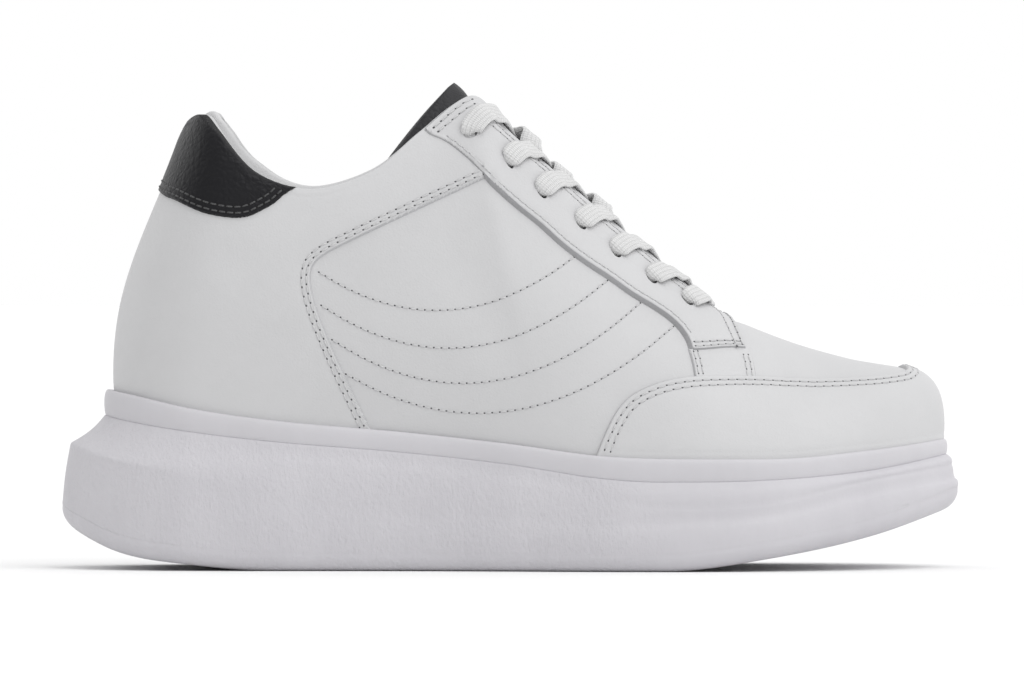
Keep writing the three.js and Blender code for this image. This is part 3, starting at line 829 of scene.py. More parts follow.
class Nodes(Graph):
    """The nodes of one finish."""

    def __init__(self, name: str) -> None:
        """Starts a material with a Principled shader."""
        self.material = bpy.data.materials.new(name)
        self.material.use_nodes = True
        super().__init__(self.material.node_tree)
        self.shader = self.tree.nodes["Principled BSDF"]
        self.coordinates = self.tree.nodes.new("ShaderNodeTexCoord")

    def stretched(self, scale: Triple = (1, 1, 1)) -> Socket:
        """The piece's own coordinates, scaled along each axis."""
        inputs = {"Vector": self.coordinates.outputs["Object"], "Scale": scale}
        return self.put("ShaderNodeMapping", inputs).outputs["Vector"]

    def noise(self, vector: Socket, scale: float, detail: float = 3, rough: float = 0.5) -> Socket:
        """Soft noise from 0 to 1."""
        inputs = {"Vector": vector, "Scale": scale, "Detail": detail, "Roughness": rough}
        return self.put("ShaderNodeTexNoise", inputs).outputs["Fac"]

    def cells(self, vector: Socket, scale: float, feature: str = "DISTANCE_TO_EDGE") -> Socket:
        """Distance in a pattern of cells."""
        inputs = {"Vector": vector, "Scale": scale}
        return self.put("ShaderNodeTexVoronoi", inputs, feature=feature).outputs["Distance"]

    def math(self, operation: str, a: object, b: object = 0.0) -> Socket:
        """A sum worked out on the surface."""
        return self.put("ShaderNodeMath", {0: a, 1: b}, operation=operation).outputs[0]

    def tint(self, factor: Socket, low: Triple, high: Triple) -> None:
        """Lets the base colour run between two colours.

        Args:
            factor: Value from 0 to 1.
            low: Colour at 0.
            high: Colour at 1.
        """
        mix = self.put("ShaderNodeMix", {"Factor": factor}, data_type="RGBA")
        ends = [socket for socket in mix.inputs if socket.type == "RGBA"]
        for end, colour in zip(ends, (low, high)):
            end.default_value = (*colour, 1)
        result = next(socket for socket in mix.outputs if socket.type == "RGBA")
        self.tree.links.new(result, self.shader.inputs["Base Color"])

    def dull(self, roughness: Socket) -> None:
        """Lets the roughness follow a value."""
        self.tree.links.new(roughness, self.shader.inputs["Roughness"])

    def bump(
        self, height: Socket, depth: float, strength: float, after: Socket | None = None
    ) -> Socket:
        """A bump of a real depth in metres, laid over another if one is given.

        Args:
            height: Height of the grain.
            depth: Its depth in metres.
            strength: How much of it shows.
            after: Bump that lies under it.

        Returns:
            The bent normal.
        """
        inputs = {"Height": height, "Distance": depth, "Strength": strength}
        if after is not None:
            inputs["Normal"] = after
        return self.put("ShaderNodeBump", inputs).outputs["Normal"]

    def finish(self, normal: Socket | None = None, **fixed: float) -> Material:
        """Sets the shader's own values and gives the material.

        Args:
            normal: Bent normal, if the finish has one.
            fixed: Values of the shader by name.

        Returns:
            The material.
        """
        if normal is not None:
            self.tree.links.new(normal, self.shader.inputs["Normal"])
        for key, value in fixed.items():
            self.shader.inputs[key.replace("_", " ")].default_value = value
        return self.material


@dataclass(frozen=True)
class Leather:
    """Coated leather with a fine grain."""

    name: str
    dark: Triple
    light: Triple
    roughness: tuple[float, float] = (0.44, 0.58)
    grain: float = 900.0
    depth: float = 0.00016
    strength: float = 0.5
    shine: float = 0.4

    def build(self) -> Material:
        """Makes the material."""
        n = Nodes(self.name)
        plain = n.stretched()
        warp = n.noise(plain, 60, 2)
        pores = n.cells(plain, self.grain)
        hills = n.noise(plain, self.grain * 0.55, 4, 0.6)
        height = n.math("ADD", n.math("MULTIPLY", pores, 0.7), n.math("MULTIPLY", hills, 0.8))
        n.tint(n.span(n.noise(plain, 22, 5, 0.6), 0.3, 0.7, 0, 1), self.dark, self.light)
        worn = n.math("ADD", warp, n.math("MULTIPLY", hills, 0.5))
        n.dull(n.span(worn, 0.4, 1.1, *self.roughness))
        soft = n.bump(n.noise(plain, 95, 2), 0.0005, 0.10)
        normal = n.bump(height, self.depth, self.strength, soft)
        return n.finish(normal, Specular_IOR_Level=self.shine)


@dataclass(frozen=True)
class Rubber:
    """Moulded rubber with fine upright streaks, smooth towards the toe."""

    name: str
    dark: Triple
    light: Triple
    strength: float = 0.5
    smooth_from: float = 0.034
    roughness: tuple[float, float] = (0.5, 0.64)

    def build(self) -> Material:
        """Makes the material."""
        n = Nodes(self.name)
        upright = n.stretched((1, 1, 0.55))
        pebble = n.noise(upright, 820, 3, 0.6)
        streak = n.noise(n.stretched((1, 1, 0.2)), 420, 3, 0.6)
        height = n.math("ADD", pebble, n.math("MULTIPLY", streak, 0.4))
        x = n.axes(n.coordinates.outputs["Object"])[0]
        fade = n.span(x, self.smooth_from, self.smooth_from + 0.02, 1, 0.18)
        cloud = n.noise(n.stretched((1, 1, 0.5)), 30, 5, 0.65)
        n.tint(n.span(cloud, 0.3, 0.7, 0, 1), self.dark, self.light)
        n.dull(n.span(pebble, 0.3, 0.7, *self.roughness))
        normal = n.bump(n.math("MULTIPLY", height, fade), 0.0005, self.strength)
        return n.finish(normal, Specular_IOR_Level=0.4)


@dataclass(frozen=True)
class Cloth:
    """Lining cloth with a fine even knit."""

    name: str
    dark: Triple
    light: Triple
    knit: float = 1500.0
    depth: float = 0.00015

    def build(self) -> Material:
        """Makes the material."""
        n = Nodes(self.name)
        plain = n.stretched()
        loops = n.cells(plain, self.knit, "F1")
        fuzz = n.noise(plain, self.knit * 0.4, 4, 0.7)
        height = n.math("ADD", loops, fuzz)
        n.tint(n.span(n.noise(plain, 40, 4), 0.3, 0.7, 0, 1), self.dark, self.light)
        n.dull(n.span(fuzz, 0.3, 0.7, 0.82, 0.95))
        return n.finish(n.bump(height, self.depth, 0.5), Sheen_Weight=0.25, Sheen_Roughness=0.5)


@dataclass(frozen=True)
class Webbing:
    """Flat woven lace: a diagonal plait with ribs along it, from its own run and width, its colour
    darker in the plait's hollows as painted shade.
    """

    name: str
    dark: Triple
    light: Triple
    rib: float = 1.5
    depth: float = 0.00025

    def build(self) -> Material:
        """Makes the material."""
        n = Nodes(self.name)
        run, across, _ = n.axes(n.coordinates.outputs["UV"])

        def wave(place: Socket, length: float) -> Socket:
            """A sine wave of a length in millimetres."""
            return n.math("SINE", n.math("MULTIPLY", place, math.tau / length))

        left = wave(n.math("ADD", run, across), self.rib)
        right = wave(n.math("SUBTRACT", run, across), self.rib)
        strands = wave(across, 1.5)
        plait = n.math("ADD", n.math("MULTIPLY", left, right), n.math("MULTIPLY", strands, 0.4))
        fuzz = n.noise(n.stretched(), 1600, 3, 0.6)
        height = n.math("ADD", n.math("MULTIPLY", plait, 0.5), n.math("MULTIPLY", fuzz, 0.25))
        # The colour darkens where the plait is low: painted shade in the hollows of the weave.
        n.tint(n.span(plait, -1.0, 0.6, 0, 1), self.dark, self.light)
        n.dull(n.span(fuzz, 0.3, 0.7, 0.8, 0.95))
        return n.finish(n.bump(height, self.depth, 0.8), Sheen_Weight=0.2, Sheen_Roughness=0.5)


@dataclass(frozen=True)
class Thread:
    """Twisted thread, or a dark lens of painted shade for a needle hole."""

    name: str
    dark: Triple
    light: Triple
    roughness: float = 0.7

    def build(self) -> Material:
        """Makes the material."""
        n = Nodes(self.name)
        twist = n.noise(n.stretched(), 2600, 2)
        n.tint(n.span(twist, 0.3, 0.7, 0, 1), self.dark, self.light)
        return n.finish(n.bump(twist, 0.0001, 0.5), Roughness=self.roughness)


def made(finish: Leather | Rubber | Cloth | Webbing | Thread) -> Material:
    """A field whose material is built with the rest."""
    return field(default_factory=finish.build)


@dataclass
class Finishes:
    """Every finish of the shoe, built once."""

    white: Material = made(Leather("white_leather", (0.572, 0.572, 0.580), (0.608, 0.608, 0.616)))
    # Grey for the eyestay's cut edge: the raw edge's own tone, darkened as painted shade because
    # these faces turn down and away from the light.
    cut: Material = made(
        Leather("cut_shade_leather", (0.34, 0.34, 0.35), (0.42, 0.42, 0.43), (0.8, 0.9), 700, 0.0003, 0.6)
    )
    # Pale grey for the cut edges of the heel panel, rand and patch: painted shade along the panel
    # edges.
    pale_cut_shade: Material = made(
        Leather("pale_cut_shade_leather", (0.47, 0.47, 0.48), (0.52, 0.52, 0.53), (0.7, 0.8), 700)
    )
    black: Material = made(Leather(
        "black_leather", (0.006, 0.006, 0.0075), (0.010, 0.010, 0.012), (0.34, 0.48),
        480, 0.0005, 0.8, 0.22,
    ))
    tongue: Material = made(Leather(
        "tongue_leather", (0.014, 0.014, 0.016), (0.030, 0.030, 0.033), (0.45, 0.6),
        480, 0.0006, 0.8, 0.3,
    ))
    black_cut: Material = made(
        Leather("black_edge", (0.008, 0.008, 0.009), (0.02, 0.02, 0.02), (0.7, 0.85), 600)
    )
    rubber: Material = made(
        Rubber("platform_rubber", (0.552, 0.541, 0.571), (0.604, 0.593, 0.622), 0.8)
    )
    rim: Material = made(
        Rubber("rim_rubber", (0.566, 0.556, 0.582), (0.606, 0.596, 0.624), 0.15, -1.0, (0.46, 0.56))
    )
    tread: Material = made(
        Rubber("tread_rubber", (0.552, 0.541, 0.571), (0.604, 0.593, 0.622), 0.6)
    )
    lining: Material = made(Cloth("collar_lining", (0.55, 0.55, 0.555), (0.61, 0.61, 0.615)))
    sock: Material = made(
        Cloth("footbed_sock", (0.62, 0.62, 0.64), (0.70, 0.70, 0.71), 1100, 0.00025)
    )
    lace: Material = made(Webbing("lace_webbing", (0.605, 0.605, 0.605), (0.71, 0.71, 0.71)))
    thread: Material = made(Thread("white_thread", (0.53, 0.53, 0.54), (0.62, 0.62, 0.62)))
    dark_thread: Material = made(
        Thread("dark_thread", (0.03, 0.03, 0.032), (0.09, 0.09, 0.092), 0.6)
    )
    # Dark lens at each needle hole: painted shade for the hole's depth.
    hole: Material = made(Thread("needle_hole_shade", (0.07, 0.07, 0.075), (0.12, 0.12, 0.125), 0.9))
    # Grey lens for the quieter stitches along the eyestay: painted shade of their small dips.
    faint_hole_shade: Material = made(
        Thread("faint_needle_hole_shade", (0.28, 0.28, 0.29), (0.36, 0.36, 0.37), 0.9)
    )
    # Dark cup in each eyelet: painted shade for the hole's depth.
    well_shade: Material = made(Thread("eyelet_well_shade", (0.11, 0.11, 0.115), (0.17, 0.17, 0.175), 0.9))
    # Near-black lens at the tab's needle holes: painted shade.
    black_hole_shade: Material = made(
        Thread("dark_needle_hole_shade", (0.004, 0.004, 0.004), (0.008, 0.008, 0.008), 0.9)
    )


# ---- sole


@dataclass
class Sole:
    """Platform, wearing layer and rolled rim."""

    last: Last
    finishes: Finishes
    outsole: float = 6.0
    edge_round: float = 5.0
    channel: float = 0.5
    groove_depth: float = 2.0
    groove_width: float = 4.0
    groove_pitch: float = 15.0
    groove_start: float = -126.0
    groove_end: float = 134.0
    sink: float = 0.2
    roundness: float = 1.7
    soft_at: tuple[float, ...] = (-120, -75, -30, 20, 60)
    soft: tuple[float, ...] = (0.8, 7.0, 9.0, 5.0, 2.6)
    grooved_at: tuple[float, ...] = (-140, -110, -40, 0, 60, 110, 135)
    grooved: tuple[float, ...] = (16, 32, 34, 38, 46, 38, 16)
    stations: int = 520

    def ring(self, out: Array, height: Profile) -> Array:
        """A ring round the sole.

        Args:
            out: Distance out of the upper's foot at each station.
            height: Height for each x.

        Returns:
            One point for each station.
        """
        x, y = self.last.plan(around(self.stations), out)
        return np.stack([x, y, height(x)], axis=-1)

    def parting(self, x: Array) -> Array:
        """Height of the line between platform and wearing layer."""
        return self.last.ground(x) + self.outsole

    def notch(self, x: Array) -> Array:
        """Depth of the line between platform and wearing layer, which fades forwards."""
        return 0.08 * (1 - smoothstep(x, -130, -90))

    @staticmethod
    def cap(
        faces: Faces, ring: Array, numbers: Array, height: Field, flip: bool, across: int
    ) -> None:
        """Closes a ring with a field of faces.

        Args:
            faces: Where the faces go.
            ring: Points of the ring.
            numbers: Their numbers.
            height: Height of the field for each x and y.
            flip: True when the field faces down.
            across: Faces from side to side.
        """
        n = len(ring)
        i = np.arange(n // 2 + 1)
        partner = (n - i) % n
        f = np.linspace(0, 1, across + 1)[None, 1:-1, None]
        inner = ring[i][:, None] * (1 - f) + ring[partner][:, None] * f
        ends = (i == 0) | (i == n // 2)
        z = height(inner[..., 0], inner[..., 1])
        inner[..., 2] = np.where(ends[:, None], inner[..., 2], z)
        rows = [numbers[i][:, None], faces.add(inner), numbers[partner][:, None]]
        faces.grid(np.concatenate(rows, axis=1), 0, flip)

    def platform(self) -> Piece:
        """The platform: ledge, hollow slope, crease and flaring wall."""
        last = self.last
        u = around(self.stations)
        rim, crease, base = (last.flare(name, u) for name in ("rim", "crease", "base"))
        width = crease - rim
        x0, _ = last.plan(u, crease)
        fore = smoothstep(x0, 15, 60)
        high, deep = last.seat(x0) - last.crease(x0), last.crease(x0) - self.parting(x0)
        soft = np.interp(x0, self.soft_at, self.soft)
        above = np.clip(soft / np.hypot(width, high), 0, 0.5)
        below = np.clip(soft / deep, 0, 0.5)
        rings = [self.ring(rim - 2.2, last.seat), self.ring(rim - 0.15, last.seat)]

        def add(ledge: Array, base_share: Array, extra: Array) -> None:
            """Adds a ring by its shares of the ledge and of the base. The crease has the rest.

            Args:
                ledge: Share of the ledge.
                base_share: Share of the base.
                extra: Distance that it stands out further.
            """
            middle = 1 - ledge - base_share
            out = ledge * (rim + 0.1) + middle * (crease + 0.1) + base_share * base + extra

            def height(x: Array) -> Array:
                """Height of the ring."""
                upper = ledge * (last.seat(x) - 0.25) + middle * last.crease(x)
                return upper + base_share * self.parting(x)

            rings.append(self.ring(out, height))

        none = np.zeros(self.stations)
        for f in np.linspace(0, 1, 9)[:-1]:
            bow = math.sin(math.pi * f) * width * (0.3 * fore - 0.07 * (1 - fore))
            add(1 - f * (1 - above), none, bow)
        for f in np.linspace(0, 1, 9):
            dent = self.channel * fore * np.exp(-(((f - 0.75) / 0.4) ** 2))
            add((1 - f) ** 2 * above, f * f * below, -dent)
        for f in np.linspace(0, 1, 10)[1:-1]:
            dent = self.channel * fore * np.exp(-(((f + 0.06) / 0.14) ** 2))
            add(none, below + (1 - below) * f, 0.4 * math.sin(math.pi * f) - dent)
        notch = self.notch(x0)
        for out, rise in ((base + 0.03, 0.7), (base - 0.2 * notch, 0.2), (base - notch, 0.01)):
            rings.append(self.ring(out, lambda x, up=rise: self.parting(x) + up))
        faces = Faces()
        rows = np.stack(rings)
        numbers = faces.rings(rows)
        self.cap(faces, rows[0], numbers[0], lambda x, y: last.seat(x), False, 8)
        self.cap(faces, rows[-1], numbers[-1], lambda x, y: self.parting(x) + 0.01, True, 8)
        return place(faces.piece("platform", [self.finishes.rubber]), Slot.SOLE, "midsole")

    def groove(self, x: Array, y: Array) -> Array:
        """Depth of the cross grooves in the tread.

        Args:
            x: Places along the shoe.
            y: Places across it.

        Returns:
            Depths in millimetres.
        """
        centre = self.last.swing(x)
        pitch, reach = self.groove_pitch, self.groove_width / 2
        phase = np.mod(x - self.groove_start + pitch / 2, pitch) - pitch / 2
        bar = 1 - smoothstep(np.abs(phase), reach - 0.4, reach + 0.4)
        inside = (x > self.groove_start - 4) & (x < self.groove_end)
        half = np.interp(x, self.grooved_at, self.grooved)
        edge = 1 - smoothstep(np.abs(y - centre), half - 0.8, half + 0.8)
        return self.groove_depth * bar * edge * inside

    def tread(self) -> Piece:
        """The wearing layer, with a rounded lower edge and cross grooves."""
        last = self.last
        u = around(self.stations)
        base = last.flare("base", u)
        x0, _ = last.plan(u, base)
        notch = self.notch(x0)
        rings = [
            self.ring(base - notch, lambda x: self.parting(x) - 0.01),
            self.ring(base - 0.2 * notch, lambda x: self.parting(x) - 0.2),
        ]
        r = self.edge_round
        for angle in np.radians(np.linspace(0, 90, 13)):
            out = base - r * (1 - math.cos(angle))
            rings.append(self.ring(out, lambda x, a=angle: last.ground(x) + r * (1 - math.sin(a))))
        faces = Faces()
        rows = np.stack(rings)
        numbers = faces.rings(rows)

        def underside(x: Array, y: Array) -> Array:
            """Height of the tread face, grooves included."""
            return last.ground(x) + self.groove(x, y)

        self.cap(faces, rows[0], numbers[0], lambda x, y: self.parting(x) - 0.01, False, 8)
        self.cap(faces, rows[-1], numbers[-1], underside, True, 110)
        return place(faces.piece("tread", [self.finishes.tread]), Slot.TREAD, "outsole")

    def rolled_rim(self) -> Piece:
        """The rolled rim that grips the foot of the upper."""
        last = self.last
        u = around(self.stations)
        out = last.flare("rim", u)
        fx, _ = last.plan(u, 0)
        low = last.seat(fx) - self.sink
        tall = last.rim(fx) - low

        def outside(shift: float, rise: float) -> Array:
            """Points on the outer face, by how far out and how high they are."""
            x, y = last.plan(u, out + shift)
            floor = last.seat(x) - self.sink
            return np.stack([x, y, floor + rise * (last.rim(x) - floor)], axis=-1)

        def inside(rise: float) -> Array:
            """Points against the leather."""
            t = last.height_at(u, low + rise * tall)
            return last.surface(u, t) + last.normal(u, t) * 0.25

        profile = [inside(0.0)]
        for turn in np.radians(np.linspace(-84, 84, 17)):
            pull = self.roundness * (0.55 if turn < 0 else 1.0) * (1 - math.cos(turn) ** 0.7)
            profile.append(outside(0.2 - pull, 0.5 + 0.5 * math.sin(turn)))
        profile += [inside(0.985), inside(0.9), inside(0.5)]
        faces = Faces()
        numbers = faces.add(np.stack(profile, axis=1))
        closed = np.concatenate([numbers, numbers[:, :1]], axis=1)
        faces.grid(np.concatenate([closed, closed[:1]], axis=0))
        return place(faces.piece("rolled_rim", [self.finishes.rim]), Slot.SOLE, "foxing_band")

    def build(self) -> list[Piece]:
        """Builds the three rubber pieces."""
        return [self.platform(), self.tread(), self.rolled_rim()]


# ---- upper


@dataclass
class Edge:
    """One stretch of a panel's outline, as stations and heights."""

    line: Array
    is_joined: bool = False


@dataclass
class Panel:
    """A piece of leather sewn on the shoe, cut along an outline."""

    name: str
    last: Last
    edges: Sequence[Edge]
    thick: float
    rows: Sequence[float] = ()
    holes: Sequence[Array] = ()
    lip: float = 0.35
    base: float = -0.35
    step: float = 1.3
    fill: float = 2.6
    dip: float = 0.16
    bevel: float = 0.3

    @property
    def chart(self) -> Array:
        """Millimetres for a unit of station and of height, roughly."""
        return self.last.chart

    def rise(self, distance: Array, rows: Sequence[float] = ()) -> Array:
        """Height of the face at a distance from a cut edge, with rows pulled in by thread.

        Args:
            distance: Distances from the cut edge.
            rows: Distances of the sewn rows.

        Returns:
            Heights above the leather underneath.
        """
        d = np.clip((distance - self.bevel) / self.lip, 0, 1)
        face = 0.05 + (self.thick - self.lip - 0.05) * np.clip(distance / self.bevel, 0, 1)
        face = face + self.lip * np.sqrt(1 - (1 - d) ** 2)
        for row in rows:
            face = face - self.dip * np.exp(-(((distance - row) / 0.55) ** 2))
        return face

    def outline(self) -> tuple[Array, Array]:
        """The closed outline and whether each of its points is on a joined stretch."""
        lines, joined = [], []
        for edge in self.edges:
            line = self.last.even(edge.line, self.step)
            lines.append(line[:-1])
            joined.append(np.full(len(line) - 1, edge.is_joined))
        return np.vstack(lines), np.concatenate(joined)

    @staticmethod
    def inside(points: Array, polygon: Array) -> Array:
        """Whether each point lies in a polygon.

        Args:
            points: Points, one to a row.
            polygon: Corners in order.

        Returns:
            True for each point inside.
        """
        x, y = points[:, 0][:, None], points[:, 1][:, None]
        a, b = polygon, np.roll(polygon, -1, axis=0)
        crosses = (a[:, 1] > y) != (b[:, 1] > y)
        rise = np.where(b[:, 1] == a[:, 1], 1e-12, b[:, 1] - a[:, 1])
        at = (b[:, 0] - a[:, 0]) * (y - a[:, 1]) / rise + a[:, 0]
        return (crosses & (x < at)).sum(axis=1) % 2 == 1

    def distance_to(self, lines: Sequence[Array]) -> Profile:
        """A function that measures how far points are from lines on the leather.

        Args:
            lines: Lines of stations and heights.

        Returns:
            The function.
        """
        dense = np.vstack([self.last.even(line, 0.2) for line in lines])
        points = self.last.surface(dense[:, 0], dense[:, 1])
        tree = KDTree(len(points))
        for k, p in enumerate(points):
            tree.insert(p, k)
        tree.balance()

        def measure(uv: Array) -> Array:
            """Distance of each place from the lines."""
            found = self.last.surface(uv[:, 0], uv[:, 1])
            return np.array([tree.find(p)[2] for p in found])

        return measure

    def places(
        self, outline: Array, measure: Profile
    ) -> tuple[list[Array], list[tuple[int, int]]]:
        """Points of the face: the outline, lines beside it and a field inside.

        Args:
            outline: The closed outline.
            measure: Distance from the outline.

        Returns:
            Blocks of stations and heights, and the pairs of points that the net must join.
        """
        closed = np.vstack([outline[-2:], outline, outline[:2]])
        polygon = outline * self.chart
        blocks, pairs, count = [], [], 0

        def add_loop(loop: Array) -> None:
            """Adds a closed line to the net."""
            nonlocal count
            n = len(loop)
            blocks.append(loop)
            pairs.extend((count + k, count + (k + 1) % n) for k in range(n))
            count += n

        add_loop(outline)
        turn = polygon_area(polygon)
        face = (self.bevel, self.bevel + self.lip * 0.3, self.bevel + self.lip)
        distances = sorted({*face, *(r + s for r in self.rows for s in (-0.5, 0, 0.5))})
        for distance in [d for d in distances if d > 0.05]:
            moved = self.last.beside(closed, distance if turn > 0 else -distance)[2:-2]
            keep = (measure(moved) > distance * 0.93) & self.inside(moved * self.chart, polygon)
            if keep.sum() > 8:
                blocks.append(moved[keep])
                count += int(keep.sum())
        for hole in self.holes:
            add_loop(hole)
        low, high = outline.min(axis=0), outline.max(axis=0)
        u = np.arange(low[0], high[0], self.fill / self.chart[0])
        t = np.arange(low[1], high[1], self.fill / self.chart[1])
        grid = np.stack(np.meshgrid(u, t, indexing="ij"), axis=-1)
        grid[1::2, :, 1] += self.fill / self.chart[1] / 2
        grid = grid.reshape(-1, 2)
        grid = grid[self.inside(grid * self.chart, polygon)]
        clear = max([self.lip + self.bevel, *self.rows]) + 1.0
        grid = grid[measure(grid) > clear] if len(grid) else grid
        for hole in self.holes:
            grid = grid[np.linalg.norm((grid - hole.mean(axis=0)) * self.chart, axis=1) > 4.2]
        blocks.append(grid)
        return blocks, pairs

    def add_to(self, faces: Faces, mirror: bool = False) -> None:
        """Adds the panel to a mesh.

        Args:
            faces: Where it goes.
            mirror: True for the same panel on the inner side.
        """
        outline, joined = self.outline()
        real = self.distance_to([edge.line for edge in self.edges if not edge.is_joined])
        whole = self.distance_to([edge.line for edge in self.edges])
        blocks, pairs = self.places(outline, whole)
        flat = np.vstack(blocks)
        net = delaunay_2d_cdt([Vector(p) for p in (flat * self.chart)], pairs, [], 0, 1e-5)
        uv = np.array([tuple(v) for v in net[0]]) / self.chart
        triangles = np.array([f for f in net[2] if len(f) == 3])
        centre = uv[triangles].mean(axis=1) * self.chart
        keep = self.inside(centre, outline * self.chart)
        for hole in self.holes:
            keep &= ~self.inside(centre, hole * self.chart)
        triangles = triangles[keep]
        used = np.unique(triangles)
        number = np.full(len(uv), -1)
        number[used] = np.arange(len(used))
        triangles = number[triangles]
        uv = uv[used]
        distance = real(uv)
        face = self.rise(distance, self.rows)
        if self.holes:
            gap = self.distance_to([np.vstack([h, h[:1]]) for h in self.holes])(uv)
            face = np.minimum(face, self.rise(gap + self.bevel))
        u = ROUND - uv[:, 0] if mirror else uv[:, 0]
        top = faces.add(self.last.skin(u, uv[:, 1], face))
        under = faces.add(self.last.skin(u, uv[:, 1], np.full(len(u), self.base)))
        # Faces on the bevelled edge, the underside and the walls take the second finish; on the
        # white panels that finish is grey, painted shade along the edge.
        is_cut = distance[triangles].mean(axis=1) < self.bevel * 0.95
        for (a, b, c), cut in zip(triangles.tolist(), is_cut.tolist()):
            faces.face((top[a], top[b], top[c]), int(cut))
            faces.face((under[c], under[b], under[a]), 1)
        is_open = np.ones(len(uv), bool)
        if joined.any():
            seams = [edge.line for edge in self.edges if edge.is_joined]
            is_open = self.distance_to(seams)(uv) >= 0.02
        borders: dict[tuple[int, int], tuple[int, int]] = {}
        for a, b, c in triangles.tolist():
            for p, q in ((a, b), (b, c), (c, a)):
                key = (min(p, q), max(p, q))
                if key in borders:
                    borders.pop(key)
                else:
                    borders[key] = (p, q)
        for p, q in borders.values():
            if is_open[p] or is_open[q]:
                faces.face((top[q], top[p], under[p], under[q]), 1)

    def build(self, finishes: Sequence[Material], sides: Sequence[Side] = (Side.OUTER,)) -> Piece:
        """Makes the panel as one piece, on one side of the shoe or on both.

        Args:
            finishes: Its face and its cut edge.
            sides: Sides of the shoe that get it.

        Returns:
            The piece.
        """
        faces = Faces()
        for side in sides:
            self.add_to(faces, side is Side.INNER)
        return faces.piece(self.name, finishes)


def polygon_area(points: Array) -> float:
    """Signed area of a polygon."""
    x, y = points[:, 0], points[:, 1]
    return float(0.5 * np.sum(x * np.roll(y, -1) - np.roll(x, -1) * y))


@dataclass
class Sewing:
    """Rows of stitches: thread between needle holes, each hole a dark lens of painted shade."""

    last: Last
    pitch: float = 3.15
    radius: float = 0.27
    hole_shade_long: float = 0.52
    hole_shade_wide: float = 0.40
    along: tuple[float, ...] = (0.10, 0.2, 0.5, 0.8, 0.90)
    lift: tuple[float, ...] = (-0.12, 0.10, 0.17, 0.10, -0.12)
    full: tuple[float, ...] = (0.6, 1.0, 1.0, 1.0, 0.6)
    threads: Faces = field(default_factory=Faces)
    holes: Faces = field(default_factory=Faces)

    def row(
        self, line: Array, out: float, sides: Sequence[Side], pitch: float | None = None
    ) -> None:
        """Sews one row.

        Args:
            line: Stations and heights of the row on the outer side.
            out: Height of the leather that is sewn.
            sides: Sides of the shoe that get the row.
            pitch: Length of a stitch, when it isn't the usual one.
        """
        even = self.last.even(line, pitch or self.pitch)
        for side in sides:
            u = even[:, 0] if side is Side.OUTER else ROUND - even[:, 0]
            points = self.last.skin(u, even[:, 1], out)
            normals = self.last.normal(u, even[:, 1])
            for a, b, n in zip(points[:-1], points[1:], unit(normals[:-1] + normals[1:])):
                self.stitch(a, b, n)
            runs = unit(np.gradient(points, axis=0))
            for p, n, run in zip(points, normals, runs):
                self.hole(p, n, run)

    def stitch(self, a: Array, b: Array, n: Array) -> None:
        """Adds the thread between two holes.

        Args:
            a: First hole.
            b: Second hole.
            n: Direction out of the leather.
        """
        run = unit(b - a)
        wide = np.cross(run, n)
        f, lift, full = (np.array(row) for row in (self.along, self.lift, self.full))
        size = full * self.radius
        angle = np.arange(6) * math.tau / 6
        centre = a + (b - a) * f[:, None] + n * lift[:, None]
        ring = np.cos(angle)[None, :, None] * wide + np.sin(angle)[None, :, None] * n * 0.8
        swept(centre[:, None] + ring * size[:, None, None], self.threads)

    def hole(self, p: Array, n: Array, run: Array) -> None:
        """Adds a thin dark lens at a needle hole, painted shade for the hole.

        Args:
            p: Middle of the hole.
            n: Direction out of the leather.
            run: Direction of the row.
        """
        wide = np.cross(run, n)
        angle = (np.arange(8) * math.tau / 8)[:, None]
        edge = p + np.cos(angle) * run * self.hole_shade_long + np.sin(angle) * wide * self.hole_shade_wide
        numbers = self.holes.add(edge - n * 0.12)
        low = self.holes.add((p - n * 0.3)[None])[0]
        peak = self.holes.add((p + n * 0.045)[None])[0]
        middle = self.holes.add(edge * 0.62 + p * 0.38 + n * 0.035)
        for k in range(8):
            m = (k + 1) % 8
            self.holes.face((numbers[k], numbers[m], middle[m], middle[k]))
            self.holes.face((middle[k], middle[m], peak))
            self.holes.face((numbers[m], numbers[k], low))

    def build(self, name: str, thread: Material, hole: Material, slot: Slot) -> list[Piece]:
        """Makes one piece of all the thread and one of all the dark lenses painted as the holes'
        shade.

        Args:
            name: Start of both names.
            thread: Finish of the thread.
            hole: Finish of the holes' painted shade.
            slot: Handed on to place, which does not use it.

        Returns:
            Both pieces.
        """
        return [
            place(self.threads.piece(f"{name}_thread", [thread], 0.0005), slot),
            place(self.holes.piece(f"{name}_needle_hole_shades", [hole], 0.0005), slot),
        ]


BOTH = (Side.OUTER, Side.INNER)
QUARTER_SEAM = (
    (-8.2, 130.1), (-23.2, 123.2), (-41.2, 114.8), (-53.1, 109.1), (-61.5, 104.7), (-65.0, 101.6),
    (-66.1, 97.5), (-65.3, 91.5), (-62.6, 83.1), (-57.9, 71.8), (-53.1, 61.6), (-45.6, 46.0),
)
STAY_EDGE = (
    (-29.7, 146.2), (-27.0, 143.9), (-23.3, 142.3), (-19.9, 140.2), (-16.1, 137.2), (-10.7, 132.4),
    (-6.1, 127.4), (1.6, 120.5), (9.3, 114.3), (17.0, 107.4), (24.7, 101.6), (32.3, 96.6),
    (40.0, 91.2), (47.7, 86.6), (52.3, 83.4), (56.0, 79.8), (58.4, 76.0), (59.6, 72.2),
)
STAY_FRONT = ((79.0, 72.4), (77.4, 76.4), (75.7, 80.2), (74.4, 83.0))
THROAT_EDGE = (
    (-8.4, 153.9), (-1.1, 148.1), (7.6, 141.0), (16.3, 133.4), (26.0, 124.2), (35.2, 116.4),
    (46.8, 106.4), (56.2, 98.4), (65.6, 91.2),
)
